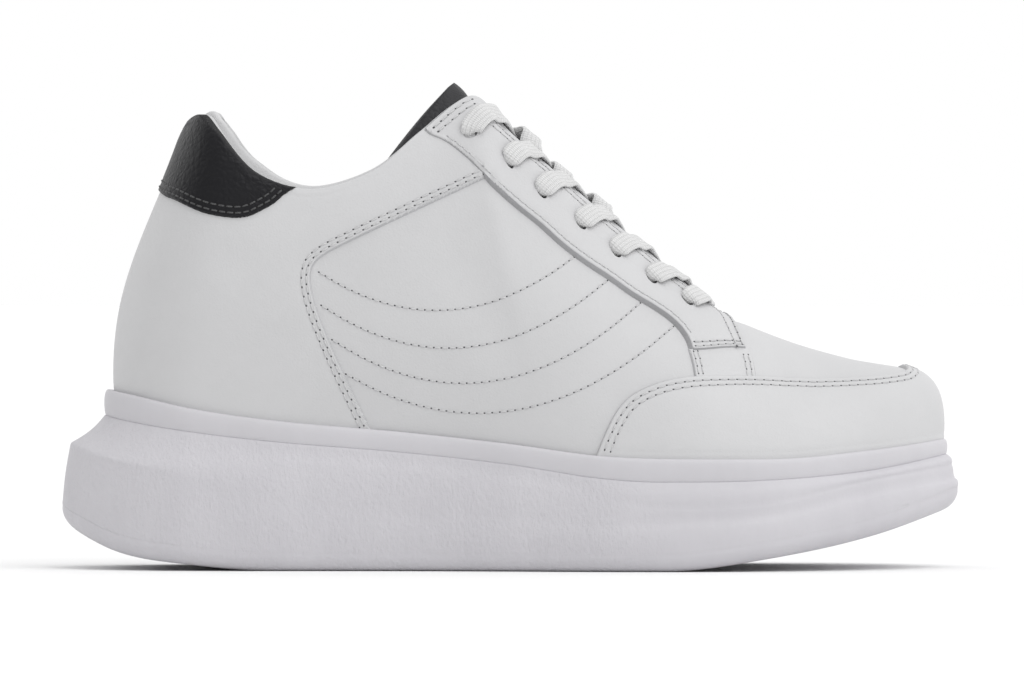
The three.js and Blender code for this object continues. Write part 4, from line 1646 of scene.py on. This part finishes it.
FRONT_ROWS = (
    ((64.5, 89.5), (68.6, 85.6), (71.4, 80.5), (73.4, 76.3), (75.1, 73.2)),
    ((67.4, 89.8), (70.1, 87.2), (72.5, 83.6), (74.8, 78.6), (77.0, 73.6)),
)
PATCH_REAR = ((59.0, 73.6), (60.2, 69.4), (61.5, 62.0))
PATCH_FRONT = ((82.0, 62.0), (80.9, 69.0), (79.3, 73.6))
RAND_EDGE = (
    (28.4, 38.2), (31.5, 45.9), (35.2, 53.0), (39.2, 57.5), (43.7, 60.2), (50.8, 62.8),
    (59.8, 64.2), (70.5, 64.4), (88.5, 63.9), (106.4, 63.3), (119.9, 63.7),
)
EYELETS = (
    (-13.1, 145.2), (-1.1, 135.4), (9.8, 125.2), (22.9, 114.7), (34.5, 105.3), (46.5, 96.5),
    (58.4, 89.0),
)


@dataclass(frozen=True)
class Arc:
    """A sagging row of stitches between two points seen from the side."""

    start: tuple[float, float]
    end: tuple[float, float]
    sag: float

    def points(self) -> Array:
        """Points of the row, seen from the side."""
        f = np.linspace(0, 1, 11)[:, None]
        line = np.array(self.start) * (1 - f) + np.array(self.end) * f
        return line - np.array([0, 4 * self.sag]) * f * (1 - f)


DECOR = (
    Arc((-63.4, 99.0), (21.4, 104.0), 15.0),
    Arc((-62.6, 88.0), (32.4, 96.2), 18.0),
    Arc((-59.0, 76.6), (43.4, 88.8), 20.0),
    Arc((-54.4, 65.2), (54.4, 81.0), 20.0),
)
TAB_EDGE = (
    (-112.4, 122.9), (-108.2, 121.1), (-103.4, 118.9), (-99.2, 117.6), (-94.7, 116.8),
    (-90.2, 116.5), (-86.4, 117.1), (-81.9, 119.2), (-78.1, 121.4), (-74.4, 124.6), (-70.6, 127.0),
)


@dataclass
class Upper:
    """The leather wall of the shoe and what is sewn to it."""

    last: Last
    finishes: Finishes
    sewing: Sewing
    wall: float = 2.2
    quarter: float = 1.1
    stay: float = 1.75
    rand: float = 1.3
    patch: float = 0.95
    seam_rows: tuple[float, ...] = (1.5, 3.1)
    rand_rows: tuple[float, ...] = (2.1, 4.1)
    stay_rows: tuple[float, ...] = (2.6, 4.3)
    stay_row: float = 2.5
    decor_pitch: float = 2.55
    hole_radius: float = 2.35
    stations: int = 540
    heights: int = 76
    bar_station: float = 11.12
    collar_height: float = 0.998
    ease_rounds: int = 24
    ease_share: float = 0.5
    pieces: list[Piece] = field(default_factory=list)
    faint: Sewing = field(init=False)

    def __post_init__(self) -> None:
        """Starts a row of quieter stitches for the outer edge of the eyestay."""
        self.faint = Sewing(self.last, hole_shade_long=0.8, hole_shade_wide=0.34)

    def sew_on(self, panel: Panel, sides: Sequence[Side], *nodes: str) -> None:
        """Adds a white panel whose cut edges are pale grey, painted shade along them."""
        piece = panel.build([self.finishes.white, self.finishes.pale_cut_shade], sides)
        self.pieces.append(place(piece, Slot.WHITE, *nodes))

    def shell(self) -> None:
        """The hollow wall, open at the collar, along the throat and underneath."""
        last = self.last
        u = around(self.stations)
        t = np.linspace(0, 1, self.heights)
        t_in = np.linspace(0, 1, 20)
        faces = Faces()
        outer = faces.add(last.skin(u[:, None], t[None], 0.0))
        inner = faces.add(last.skin(u[:, None], t_in[None], -self.wall))
        outer = np.concatenate([outer, outer[:1]])
        inner = np.concatenate([inner, inner[:1]])
        faces.grid(outer)
        faces.grid(inner, 1, True)
        faces.grid(np.stack([outer[:, 0], inner[:, 0]], axis=1), 1, True)
        middle = np.mod(u + u[1] / 2, ROUND)
        rim = np.stack([outer[:, -1], inner[:, -1]], axis=1)
        for k in range(self.stations):
            if not VAMP < middle[k] < ROUND - VAMP:
                faces.grid(rim[k:k + 2], 1)
        piece = faces.piece("upper_leather", [self.finishes.white, self.finishes.lining])
        self.ease_vamp(piece)
        self.pieces.append(place(piece, Slot.WHITE, "upper"))

    def ease_vamp(self, piece: Piece) -> None:
        """Smooths the vamp along its middle line, where the ribs of both sides meet.

        Args:
            piece: The leather wall.
        """
        mesh = piece.data
        points = np.empty(len(mesh.vertices) * 3)
        mesh.vertices.foreach_get("co", points)
        points = points.reshape(-1, 3)
        edges = np.empty(len(mesh.edges) * 2, int)
        mesh.edges.foreach_get("vertices", edges)
        edges = edges.reshape(-1, 2)
        count = np.bincount(edges.ravel(), minlength=len(points))[:, None]
        x, y, z = points.T / MM
        near = 1 - smoothstep(np.abs(y - self.last.swing(x)), 5, 16)
        weight = near * smoothstep(x, 78, 88) * smoothstep(z, 60, 64) * self.ease_share
        weight = weight[:, None]
        for _ in range(self.ease_rounds):
            total = np.zeros_like(points)
            np.add.at(total, edges[:, 0], points[edges[:, 1]])
            np.add.at(total, edges[:, 1], points[edges[:, 0]])
            points += (total / count - points) * weight
        mesh.vertices.foreach_set("co", points.ravel())
        mesh.update()

    def rim_line(self, first: float, last_station: float, drop: float) -> Array:
        """A line just under the top of the rolled rim."""
        u = np.linspace(first, last_station, 120)
        x, _ = self.last.plan(u, 0)
        return np.stack([u, self.last.height_at(u, self.last.rim(x) - drop)], axis=1)

    def heel_panel(self) -> None:
        """The leather round the heel, which ends at the quarter seam on both sides."""
        last = self.last
        seam = last.along_side(QUARTER_SEAM)
        foot_u, top_u = float(seam[-1, 0]), float(seam[0, 0])
        foot = self.rim_line(-foot_u, foot_u, 2.4)
        foot[0, 1] = foot[-1, 1] = seam[-1, 1]
        mirror = np.array([-1, 1])
        collar_u = np.linspace(top_u - 0.15, -(top_u - 0.15), 160)
        collar = np.stack([collar_u, np.full(160, self.collar_height)], axis=1)
        rise = np.linspace([top_u, seam[0, 1]], [top_u - 0.15, self.collar_height], 8)
        lines = [foot, seam[::-1], rise, collar, (rise * mirror)[::-1], seam * mirror]
        edges = [Edge(line) for line in lines]
        panel = Panel("heel_panel", last, edges, self.quarter, self.seam_rows, bevel=0.5)
        self.sew_on(panel, (Side.OUTER,))
        for distance in self.seam_rows:
            self.sewing.row(last.beside(seam, -distance), self.quarter - 0.1, BOTH)

    def eyelet_loops(self) -> list[Array]:
        """Outlines of the punched eyelets, as stations and heights."""
        centres = self.last.on_side(EYELETS)
        loops = []
        for u, t in centres:
            du, dt = self.last.slopes(np.array([u]), np.array([t]))
            angle = np.arange(20) * math.tau / 20
            wide, tall = np.cos(angle) / np.linalg.norm(du), np.sin(angle) / np.linalg.norm(dt)
            loops.append(np.array([u, t]) + np.stack([wide, tall], axis=1) * self.hole_radius)
        return loops

    def eyestay(self) -> None:
        """The eyestay: a leg on each side of the throat and a bar across its lower end."""
        last = self.last
        rear = last.along_side(STAY_EDGE)
        front = last.along_side(STAY_FRONT)
        front = np.vstack([front, [[self.bar_station, 1.0]]])
        foot = np.linspace(rear[-1], front[0], 12)
        middle = np.array([[self.bar_station, 1.0], [VAMP, 1.0]])
        throat = np.stack([np.linspace(VAMP, 7.0, 120), np.full(120, 1.0)], axis=1)
        top = np.linspace([7.0, 1.0], rear[0], 24)
        edges = [Edge(rear), Edge(foot), Edge(front), Edge(middle, True), Edge(throat), Edge(top)]
        panel = Panel(
            "eyestay_leather", last, edges, self.stay, (self.stay_row,), self.eyelet_loops(),
            lip=0.3, fill=2.2, bevel=0.95,
        )
        # The eyestay's cut edge takes the grey finish: the edge's own tone with painted shade.
        piece = panel.build([self.finishes.white, self.finishes.cut], BOTH)
        self.pieces.append(place(piece, Slot.WHITE, "eyestay"))
        self.faint.row(last.beside(rear, self.stay_row)[6:-4], self.stay - 0.12, BOTH)
        foot_line = last.even(np.vstack([rear[-1:], front[:1]]), 1.0)
        top_line = last.even(np.array([[6.95, 1.0], [6.15, 1.0]]), 1.0)
        for distance in self.stay_rows:
            shifted = np.array(THROAT_EDGE) - distance * np.array([0.66, 0.75])
            self.sewing.row(last.along_side(shifted), self.stay, BOTH)
            self.sewing.row(last.beside(foot_line, distance - 0.9)[2:-2], self.stay, BOTH)
            self.sewing.row(last.beside(top_line, distance), self.stay, BOTH)
        for line in FRONT_ROWS:
            self.sewing.row(last.along_side(line), self.stay, BOTH)
        self.eyelet_well_shades()

    def eyelet_well_shades(self) -> None:
        """A dark cup inside each eyelet, under the lace: painted shade for the hole's depth."""
        faces = Faces()
        for loop in self.eyelet_loops():
            for side in BOTH:
                u = loop[:, 0] if side is Side.OUTER else ROUND - loop[:, 0]
                rings = [self.last.skin(u, loop[:, 1], out) for out in (1.5, 0.12)]
                numbers = faces.rings(np.stack(rings))
                faces.face(numbers[1])
        piece = faces.piece("eyelet_well_shades", [self.finishes.well_shade], 0.0005)
        self.pieces.append(place(piece, Slot.WHITE))

    def cross_patch(self) -> None:
        """The small piece under the foot of the eyestay."""
        last = self.last
        rear = last.along_side(PATCH_REAR)
        front = last.along_side(PATCH_FRONT)
        low = np.linspace(rear[-1], front[0], 12)
        high = np.linspace(front[-1], rear[0], 12)
        edges = [Edge(rear), Edge(low), Edge(front), Edge(high)]
        self.sew_on(Panel("stay_patch", last, edges, self.patch, lip=0.3), BOTH)
        for line, distance in ((rear, 1.3), (rear, 3.0), (front, 1.4), (front, 3.2)):
            self.sewing.row(last.beside(line, distance)[1:-2], self.patch, BOTH)

    def toe_rand(self) -> None:
        """The rand that wraps the toe."""
        last = self.last
        rise = last.along_side(RAND_EDGE)
        start = rise[0, 0]
        u = np.linspace(rise[-1, 0], HALF, 40)[1:]
        z = np.interp(u, [rise[-1, 0], 14.0, 14.6, HALF], [63.7, 65.0, 66.2, 67.2])
        nose = np.stack([u, last.height_at(u, z)], axis=1)
        half = np.vstack([rise, nose])
        whole = np.vstack([half, (half[:-1] * [-1, 1] + [ROUND, 0])[::-1]])
        foot = self.rim_line(start, ROUND - start, 2.2)
        close = np.linspace(whole[-1], foot[-1], 6)
        open_ = np.linspace(foot[0], whole[0], 6)
        edges = [Edge(open_), Edge(whole), Edge(close), Edge(foot[::-1])]
        panel = Panel(
            "toe_cover", last, edges, self.rand, self.rand_rows, lip=0.4, bevel=0.35, base=-1.1
        )
        self.sew_on(panel, (Side.OUTER,), "toe_rand")
        for distance in self.rand_rows:
            self.sewing.row(last.beside(whole, -distance)[2:-2], self.rand - 0.1, (Side.OUTER,))

    def decor(self) -> None:
        """Four plain sagging rows of single stitches across the quarter."""
        for arc in DECOR:
            self.sewing.row(self.last.along_side(arc.points()), 0.0, BOTH, self.decor_pitch)

    def build(self) -> list[Piece]:
        """Builds the wall, its panels and the rows of stitches."""
        self.shell()
        self.heel_panel()
        self.eyestay()
        self.cross_patch()
        self.toe_rand()
        self.decor()
        finishes = self.finishes
        rows = self.faint.build("faint", finishes.thread, finishes.faint_hole_shade, Slot.WHITE)
        return self.pieces + rows


@dataclass
class HeelTab:
    """The black tab round the back of the collar."""

    last: Last
    finishes: Finishes
    sewing: Sewing
    thick: float = 2.0
    back_z: float = 125.2
    rows: tuple[float, ...] = (1.9, 3.9)

    def build(self) -> list[Piece]:
        """Builds the tab and its two rows of dark stitches."""
        last = self.last
        side = last.on_side(TAB_EDGE)
        middle = np.array([[0.0, float(last.height_at(0.0, self.back_z))]])
        side = side[side[:, 0] > 0.9]
        line = np.vstack([side[::-1] * [-1, 1], middle, side])
        low = through(line * last.chart, 12) / last.chart
        u = np.linspace(low[0, 0], low[-1, 0], 200)
        top = np.stack([u[::-1], np.full(200, 0.999)], axis=1)
        left = np.linspace(top[-1], low[0], 4)
        right = np.linspace(low[-1], top[0], 4)
        edges = [Edge(line) for line in (low, right, top, left)]
        panel = Panel("heel_tab_leather", last, edges, self.thick, self.rows, lip=0.5, bevel=0.5)
        piece = panel.build([self.finishes.black, self.finishes.black_cut])
        for distance in self.rows:
            row = last.beside(low, distance)
            self.sewing.row(row[row[:, 1] < 0.965], self.thick - 0.1, (Side.OUTER,), 2.6)
        return [place(piece, Slot.BLACK, "heel_tab")]


# ---- inside of the shoe


@dataclass
class Collar:
    """The foam roll inside the collar."""

    last: Last
    finishes: Finishes
    wall: float = 2.2
    foam: float = 6.0
    end: float = 5.9
    stations: tuple[float, ...] = (0, 1, 1.5, 2, 2.5, 3, 3.5, 4.2, 5.4, 5.9)
    roll: tuple[float, ...] = (2.8, 1.9, 1.7, 3.4, 5.7, 5.3, 2.9, 1.3, 1.1, 0.9)
    puff: tuple[float, ...] = (0.56, 0.4, 0.36, 0.48, 0.6, 0.7, 0.7, 0.6, 0.4, 0.25)
    section: tuple[tuple[float, ...], ...] = (
        (0.66, 0, 0, 0), (0.78, 0, 0, 0), (0.9, 0, 0, 0), (0.985, 0, 0, 0), (1, 0.25, -0.9, 0),
        (1, 0.8, -0.5, 0), (1, 1, 0, 0.22), (1, 0.9, 0, 0.55), (1, 0.3, 0, 0.88),
        (0.97, 0, 0, 1.05), (0.92, 0, 0, 1.1), (0.86, 0, 0, 0.98), (0.79, 0, 0, 0.68),
        (0.72, 0, 0, 0.32), (0.67, 0, 0.1, 0),
    )

    def build(self) -> list[Piece]:
        """Builds the roll as one bar with soft sections.

        A section's rows hold the height, the share of the roll above it, a step inwards and the
        share of the foam.
        """
        last = self.last
        u = np.linspace(-self.end, self.end, 260)
        roll = Track(self.stations, self.roll)(np.abs(u))
        foam = self.foam * Track(self.stations, self.puff)(np.abs(u))
        upwards = np.linalg.norm(last.slopes(u, np.full(u.shape, 0.99))[1], axis=-1)
        over = roll / upwards
        start = self.wall + 0.1
        control = np.stack([
            last.skin(u, height + share * over, -(start + step + fill * foam))
            for height, share, step, fill in self.section
        ], axis=1)
        rows = [through(np.vstack([row, row[:1]]), 3)[:-1] for row in control]
        faces = Faces()
        swept(np.stack(rows), faces)
        piece = place(faces.piece("collar_roll", [self.finishes.lining]), Slot.LINING, "collar_pad")
        return [piece]


@dataclass
class Tongue:
    """The padded tongue, from its sewn end under the vamp to its free top."""

    last: Last
    finishes: Finishes
    wall: float = 2.2
    drop: float = 2.0
    thick: float = 5.0
    leave: float = 0.86
    front: float = 11.6
    rear: float = 7.2
    belly: float = 1.2
    top_x: float = -19.2
    top_z: float = 162.8
    back_x: float = -45.5
    back_z: float = 131.0
    sweep: float = 1.15
    half: float = 17.5

    def outer_face(self) -> Array:
        """Points of the outer face, from the sewn end to the free top."""
        last = self.last
        out = -(self.wall + self.drop)
        rows = []
        for station in np.linspace(self.front, self.rear, 70):
            low = 0.64 + 0.06 * max(0.0, 8 - station)
            t = np.linspace(low, self.leave, 14)[:-1]
            near = last.surface(station, t) + last.normal(station, t) * out
            far = last.surface(ROUND - station, t) + last.normal(ROUND - station, t) * out
            bridge = last.arch(station, self.leave, out, np.linspace(0, 1, 25))
            rows.append(np.vstack([near, bridge, far[::-1]]))
        throat = rows[-1]
        a = (np.linspace(0, 1, len(throat)) - 0.5) * math.pi
        back = 1 - np.cos(a)
        top = np.stack([
            self.top_x + (self.back_x - self.top_x) * back,
            self.half * np.sin(a),
            self.top_z + (self.back_z - self.top_z) * back**self.sweep,
        ], axis=1)
        free = np.linspace(0, 1, 19)[1:]
        bow = np.sin(free * math.pi) * self.belly
        direction = np.array([0.7, 0.0, 0.7])
        rows += [throat + (top - throat) * f + direction * b for f, b in zip(free, bow)]
        return np.stack(rows)

    def build(self) -> list[Piece]:
        """Builds the tongue with full, rounded edges."""
        face = self.outer_face()
        run = np.gradient(face, axis=0)
        across = np.gradient(face, axis=1)
        n = unit(np.cross(run, across))
        n *= np.sign(n[40, n.shape[1] // 2, 2]) or 1.0
        rows, columns = face.shape[:2]
        side = np.minimum(np.arange(columns), np.arange(columns)[::-1])
        end = np.arange(rows)[::-1]
        round_side = np.sqrt(1 - (1 - np.clip(side / 4, 0, 1)) ** 2)
        round_end = np.sqrt(1 - (1 - np.clip(end / 1.4, 0, 1)) ** 2)
        full = np.minimum(round_side[None, :], round_end[:, None]) * 0.94 + 0.06
        half = self.thick / 2
        top = face - n * (half * (1 - full))[..., None]
        low = face - n * (half * (1 + full))[..., None]
        faces = Faces()
        a, b = faces.add(top), faces.add(low)
        faces.grid(a)
        faces.grid(b, 0, True)
        for strip in ((b[0], a[0]), (a[-1], b[-1]), (a[:, 0], b[:, 0]), (b[:, -1], a[:, -1])):
            faces.grid(np.vstack(strip))
        piece = place(faces.piece("tongue_leather", [self.finishes.tongue]), Slot.BLACK, "tongue")
        return [piece]


@dataclass(frozen=True)
class Hollow:
    """A shallow hollow in the footbed."""

    x: float
    y: float
    long: float
    wide: float
    depth: float

    def at(self, x: Array, y: Array) -> Array:
        """Its depth at places."""
        far = -(((x - self.x) / self.long) ** 2) - ((y - self.y) / self.wide) ** 2
        return np.exp(far) * self.depth


@dataclass
class Footbed:
    """The wedge footbed with a cupped heel."""

    last: Last
    finishes: Finishes
    wall: float = 2.2
    at: tuple[float, ...] = (-132, -105, -60, -15, 30, 60, 145)
    thick: tuple[float, ...] = (31, 30, 22, 11, 5, 4, 4)
    lift: float = 0.4
    rim: float = 0.25
    heel: Hollow = Hollow(-98, 0, 26, 18, 2.2)
    ball: Hollow = Hollow(55, 3, 30, 26, 0.8)
    stations: int = 300

    def build(self) -> list[Piece]:
        """Builds the footbed as a plate whose edge turns up a little."""
        last = self.last
        track = Track(self.at, self.thick)
        u = around(self.stations)

        def bed(x: Array) -> Array:
            """Height of the top face."""
            return last.seat(x) + track(x)

        def edge(height: Profile, inset: float, lift: float) -> Array:
            """A ring against the inside of the wall.

            Args:
                height: Height for each x.
                inset: Distance from the wall.
                lift: Distance above the height.

            Returns:
                One point for each station.
            """
            t = last.height_at(u, height(last.foot_x(u)))
            p = last.surface(u, t) - last.normal(u, t) * (self.wall + inset)
            p[:, 2] = height(p[:, 0]) + lift
            return p

        def floor(x: Array, y: Array | None = None) -> Array:
            """Height of the underside."""
            return last.seat(x) + self.lift

        def cup(x: Array, y: Array) -> Array:
            """Top face with a hollow under the heel and the ball."""
            return bed(x) + self.rim - self.heel.at(x, y) - self.ball.at(x, y)

        rings = [edge(bed, 1.6, self.rim), edge(bed, 0.9, 0.1), edge(bed, 0.5, -0.6)]
        faces = Faces()
        rows = np.stack([*rings, edge(floor, 0.6, 0.0)])
        numbers = faces.rings(rows)
        Sole.cap(faces, rows[0], numbers[0], cup, False, 40)
        Sole.cap(faces, rows[-1], numbers[-1], floor, True, 6)
        return [place(faces.piece("footbed", [self.finishes.sock]), Slot.FOOTBED, "insole")]


# ---- laces


@dataclass
class Laces:
    """The flat lace, as the strands that show between the eyelets."""

    last: Last
    finishes: Finishes
    width: float = 7.6
    thick: float = 1.55
    stay: float = 1.75
    samples: int = 74
    around: int = 20
    under: float = 3.2
    lead: float = 0.05
    slant: float = 10.0
    bar_slant: float = 6.5
    sag: float = 2.7
    sag_spread: float = 0.66
    twist: float = 0.06
    pinch: float = 0.44
    flat_cup: float = 0.25
    eyelet_cup: float = 1.5
    pinched: tuple[float, float] = (2.0, 7.5)
    outer_rise: tuple[float, ...] = (0.2, 0.1, 0.1, 0.1, 0.1, 0.1)
    inner_rise: tuple[float, ...] = (4.2, 2.6, 3.2, 0.3, 0.2, 0.1)
    prints: list[tuple[Array, Array]] = field(default_factory=list)

    def eyelets(self) -> list[Triple]:
        """Station and height of each eyelet, and the station where its lace meets the throat."""
        places = self.last.on_side(EYELETS)
        edges = np.linspace(6.9, VAMP, 400)
        rim = self.last.surface(edges, np.ones(400))
        found = []
        for u, t in places:
            x = self.last.surface(u, t)[0]
            slant = self.bar_slant if len(found) == len(places) - 1 else self.slant
            found.append((float(u), float(t), float(np.interp(x + slant, rim[:, 0], edges))))
        return found

    def route(self, start: Triple, end: Triple, side: Side, over: float, bar: bool) -> Route:
        """Middle line of a strand.

        Args:
            start: Eyelet that it leaves.
            end: Eyelet of the far edge that it dives under.
            side: Side of the shoe on which it starts.
            over: Extra height where two strands cross.
            bar: True when it ends in the far eyelet instead of under the edge.

        Returns:
            Its points, the direction along the throat and the fraction of the way at each.
        """
        last = self.last
        flip = side is Side.INNER

        def rib(eyelet: Triple, down: float, out: float, far: bool) -> tuple[Array, Array]:
            """A point between the throat edge and an eyelet.

            Args:
                eyelet: The eyelet.
                down: Share of the way from the edge to the eyelet.
                out: Distance out of the leather.
                far: True on the side that it runs to.

            Returns:
                The point and the direction along the throat.
            """
            u = eyelet[2] + down * (eyelet[0] - eyelet[2])
            t = 1 + down * (eyelet[1] - 1)
            station = ROUND - u if flip != far else u
            p = last.surface(station, t)
            n = last.normal(station, t)
            ahead = last.slopes(station, t)[0] * (-1 if flip != far else 1)
            return p + n * out, unit(ahead)

        def bridge(station: float, w: float) -> Array:
            """A point across the throat, before the lace sags or rises."""
            return last.arch(station, 1.0, 0.0, w, self.lead)

        lift = self.stay + self.thick / 2
        edge = lift - self.last.throat_curl
        climb = (
            (1.0, -2.6),
            (1.03, 0.2),
            (1.0, lift + 0.1),
            (0.84, lift + 0.6),
            (0.58, lift + 0.5),
            (0.3, edge + 0.7),
            (0.05, edge + 0.2),
        )
        knots: list[tuple[Array, Array]] = [rib(start, down, out, False) for down, out in climb]
        for across in (-0.75, -0.5, -0.25, 0.0, 0.25, 0.5, 0.72):
            f = (across + 1) / 2
            station = start[2] + (end[2] - start[2]) * f
            w = 1 - f if flip else f
            p = bridge(station, w)
            run = bridge(station, w + 0.02) - bridge(station, w - 0.02)
            ahead = unit(bridge(station + 0.03, w) - bridge(station - 0.03, w))
            up = unit(np.cross(unit(run), ahead))
            up = up if up[2] > 0 else -up
            dip = 0.0 if bar else float(smoothstep(np.array(across), 0.35, 1.0))
            peak, spread = (0.5, 0.3) if flip else (-0.1, 0.5)
            hump = over * math.exp(-(((across - peak) / spread) ** 2))
            hump -= 0.0 if bar else self.sag * math.exp(-((across / self.sag_spread) ** 2))
            knots.append((p + up * (edge + hump - dip * (edge + self.under)), ahead))
        if bar:
            knots += [rib(end, down, out, True) for down, out in reversed(climb)]
        else:
            knots.append(rib(end, 0.0, -self.under, True))
            knots.append(rib(end, 0.35, -self.under + 0.1, True))
        points = through(np.array([k[0] for k in knots]), 12)
        ahead = through(np.array([k[1] for k in knots]), 12)
        run = np.concatenate([[0], np.cumsum(np.linalg.norm(np.diff(points, axis=0), axis=1))])
        wanted = np.linspace(0, run[-1], self.samples)
        points, ahead = (
            np.stack([np.interp(wanted, run, v[:, k]) for k in range(3)], axis=1)
            for v in (points, ahead)
        )
        return points, unit(ahead), wanted

    def strand(self, faces: Faces, route: Route, bar: bool, twist: float) -> None:
        """Adds a flat woven strand along a route.

        Args:
            faces: Where it goes.
            route: Its middle line.
            bar: True when both ends go into eyelets.
            twist: How far it leans in radians.
        """
        points, ahead, run = route
        along = unit(np.gradient(points, axis=0))
        wide = unit(ahead - (ahead * along).sum(-1, keepdims=True) * along)
        up = np.cross(wide, along)
        lean = twist * np.sin(np.clip(run / run[-1], 0, 1) * math.pi)
        wide, up = (
            wide * np.cos(lean)[:, None] + up * np.sin(lean)[:, None],
            up * np.cos(lean)[:, None] - wide * np.sin(lean)[:, None],
        )
        near, far = self.pinched
        into = 1 - smoothstep(run, near, far)
        if bar:
            into = np.maximum(into, smoothstep(run, run[-1] - far, run[-1] - near))
        half = self.width / 2 * (1 - self.pinch * into)
        cup = (self.flat_cup + self.eyelet_cup * into) * np.sign(up[len(run) // 2, 2])
        angle = np.arange(self.around) * math.tau / self.around
        across = np.sign(np.cos(angle)) * np.abs(np.cos(angle)) ** 0.55
        upright = np.sign(np.sin(angle)) * np.abs(np.sin(angle)) ** 0.75
        ring = points[:, None] + wide[:, None] * (half[:, None] * across)[..., None]
        rise = upright[None] * self.thick / 2 - cup[:, None] * across[None] ** 2
        ring = ring + up[:, None] * rise[..., None]
        swept(ring, faces)
        self.prints.append((np.repeat(run, self.around), (half[:, None] * across[None]).ravel()))

    def cross(self, k: int, eyelets: Sequence[Triple]) -> Piece:
        """The two strands that cross after one pair of eyelets, or the last bar.

        Args:
            k: Number of the pair, from the top.
            eyelets: Every eyelet of one side.

        Returns:
            The piece.
        """
        self.prints.clear()
        faces = Faces()
        is_bar = k == len(eyelets) - 1
        if is_bar:
            u, t, meets = eyelets[k]
            here = (u, t, meets + 0.03)
            self.strand(faces, self.route(here, here, Side.OUTER, 0.0, True), True, 0.0)
        else:
            for side, rise, twist in (
                (Side.OUTER, self.outer_rise, self.twist),
                (Side.INNER, self.inner_rise, -self.twist),
            ):
                route = self.route(eyelets[k], eyelets[k + 1], side, rise[k], False)
                self.strand(faces, route, False, twist)
        piece = self.mapped(faces, f"lace_{'bar' if is_bar else 'strands'}_{k + 1}")
        return place(piece, Slot.LACE, f"lace_{'bar' if is_bar else 'cross'}_{k + 1}")

    def mapped(self, faces: Faces, name: str) -> Piece:
        """Makes the piece and lays its weave along its run and width, in millimetres.

        Args:
            faces: Faces of all its strands.
            name: Its name.

        Returns:
            The piece.
        """
        piece = faces.untouched(name, [self.finishes.lace])
        mesh = piece.data
        run = np.concatenate([p[0] for p in self.prints])
        across = np.concatenate([p[1] for p in self.prints])
        corners = np.empty(len(mesh.loops), int)
        mesh.loops.foreach_get("vertex_index", corners)
        layer = mesh.uv_layers.new(name="weave")
        layer.data.foreach_set("uv", np.stack([run[corners], across[corners]], axis=1).ravel())
        mesh.update()
        return piece

    def build(self) -> list[Piece]:
        """Builds every crossing from the top eyelets to the last bar."""
        eyelets = self.eyelets()
        return [self.cross(k, eyelets) for k in range(len(eyelets))]


# ---- studio


@dataclass
class Studio:
    """Pale floor, soft lights and the camera."""

    distance: float = 4.0
    elevation: float = 0.5
    wide: float = 0.3428
    aim: Triple = (0.0007, 0.0, 0.0757)
    heel_light: float = 0.31
    toe_light: float = 0.85
    top_light: float = 0.88
    key_power: float = 1.1
    key_from: Triple = (0.45, -0.5, 1.0)

    def floor(self) -> None:
        """A wide pale floor."""
        bpy.ops.mesh.primitive_plane_add(size=30, location=(0, 0, 0))
        floor = bpy.context.object
        floor.name = "studio_floor"
        n = Nodes("floor_paper")
        n.tint(n.noise(n.stretched(), 3), (0.90, 0.90, 0.90), (0.92, 0.92, 0.92))
        floor.data.materials.append(n.finish(Roughness=0.9))

    def sky(self) -> None:
        """A white surround that is dimmer in front of the shoe and towards its heel."""
        world = bpy.data.worlds.new("studio")
        world.use_nodes = True
        graph = Graph(world.node_tree)
        background = graph.tree.nodes["Background"]
        background.inputs["Color"].default_value = (1, 1, 1, 1)
        x, y, z = graph.axes(graph.put("ShaderNodeTexCoord").outputs["Generated"])
        front = graph.span(x, -0.9, 0.9, self.heel_light, self.toe_light)
        lifted = graph.span(z, 0.15, 0.9, front, self.top_light)
        whole = graph.span(y, -0.1, 0.25, lifted, 1.0)
        graph.tree.links.new(whole, background.inputs["Strength"])
        bpy.context.scene.world = world

    def key(self) -> None:
        """A wide soft key light from above the toe."""
        data = bpy.data.lights.new("key", "SUN")
        data.energy = self.key_power
        data.angle = math.radians(55)
        lamp = bpy.data.objects.new("key", data)
        lamp.rotation_euler = (-Vector(self.key_from)).to_track_quat("-Z", "Y").to_euler()
        bpy.context.scene.collection.objects.link(lamp)

    def build(self) -> None:
        """Sets up the floor, the light and the camera."""
        self.floor()
        self.sky()
        self.key()
        scene = bpy.context.scene
        scene.view_settings.view_transform = "Standard"
        camera = bpy.data.cameras.new("camera")
        camera.sensor_width = 36
        camera.lens = 36 * self.distance / self.wide
        camera.clip_end = 60
        view = bpy.data.objects.new("camera", camera)
        tilt = math.radians(self.elevation)
        aim = Vector(self.aim)
        view.location = aim + Vector((0, -math.cos(tilt), math.sin(tilt))) * self.distance
        view.rotation_euler = (aim - view.location).to_track_quat("-Z", "Y").to_euler()
        scene.collection.objects.link(view)
        scene.camera = view


def report(pieces: Sequence[Piece]) -> None:
    """Logs each finished piece."""
    for piece in pieces:
        log.info("%s: %d faces", piece.name, len(piece.data.polygons))


def main() -> None:
    """Builds the shoe piece by piece, then the studio."""
    logging.basicConfig(level=logging.INFO, format="%(name)s: %(message)s")
    Studio().build()
    last = Last()
    finishes = Finishes()
    white = Sewing(last)
    dark = Sewing(last, radius=0.3)
    assemblies = (
        Sole(last, finishes),
        Upper(last, finishes, white),
        HeelTab(last, finishes, dark),
        Collar(last, finishes),
        Tongue(last, finishes),
        Footbed(last, finishes),
        Laces(last, finishes),
    )
    for assembly in assemblies:
        report(assembly.build())
    report(white.build("white", finishes.thread, finishes.hole, Slot.LACE))
    report(dark.build("dark", finishes.dark_thread, finishes.black_hole_shade, Slot.BLACK))


if __name__ == "__main__":
    main()
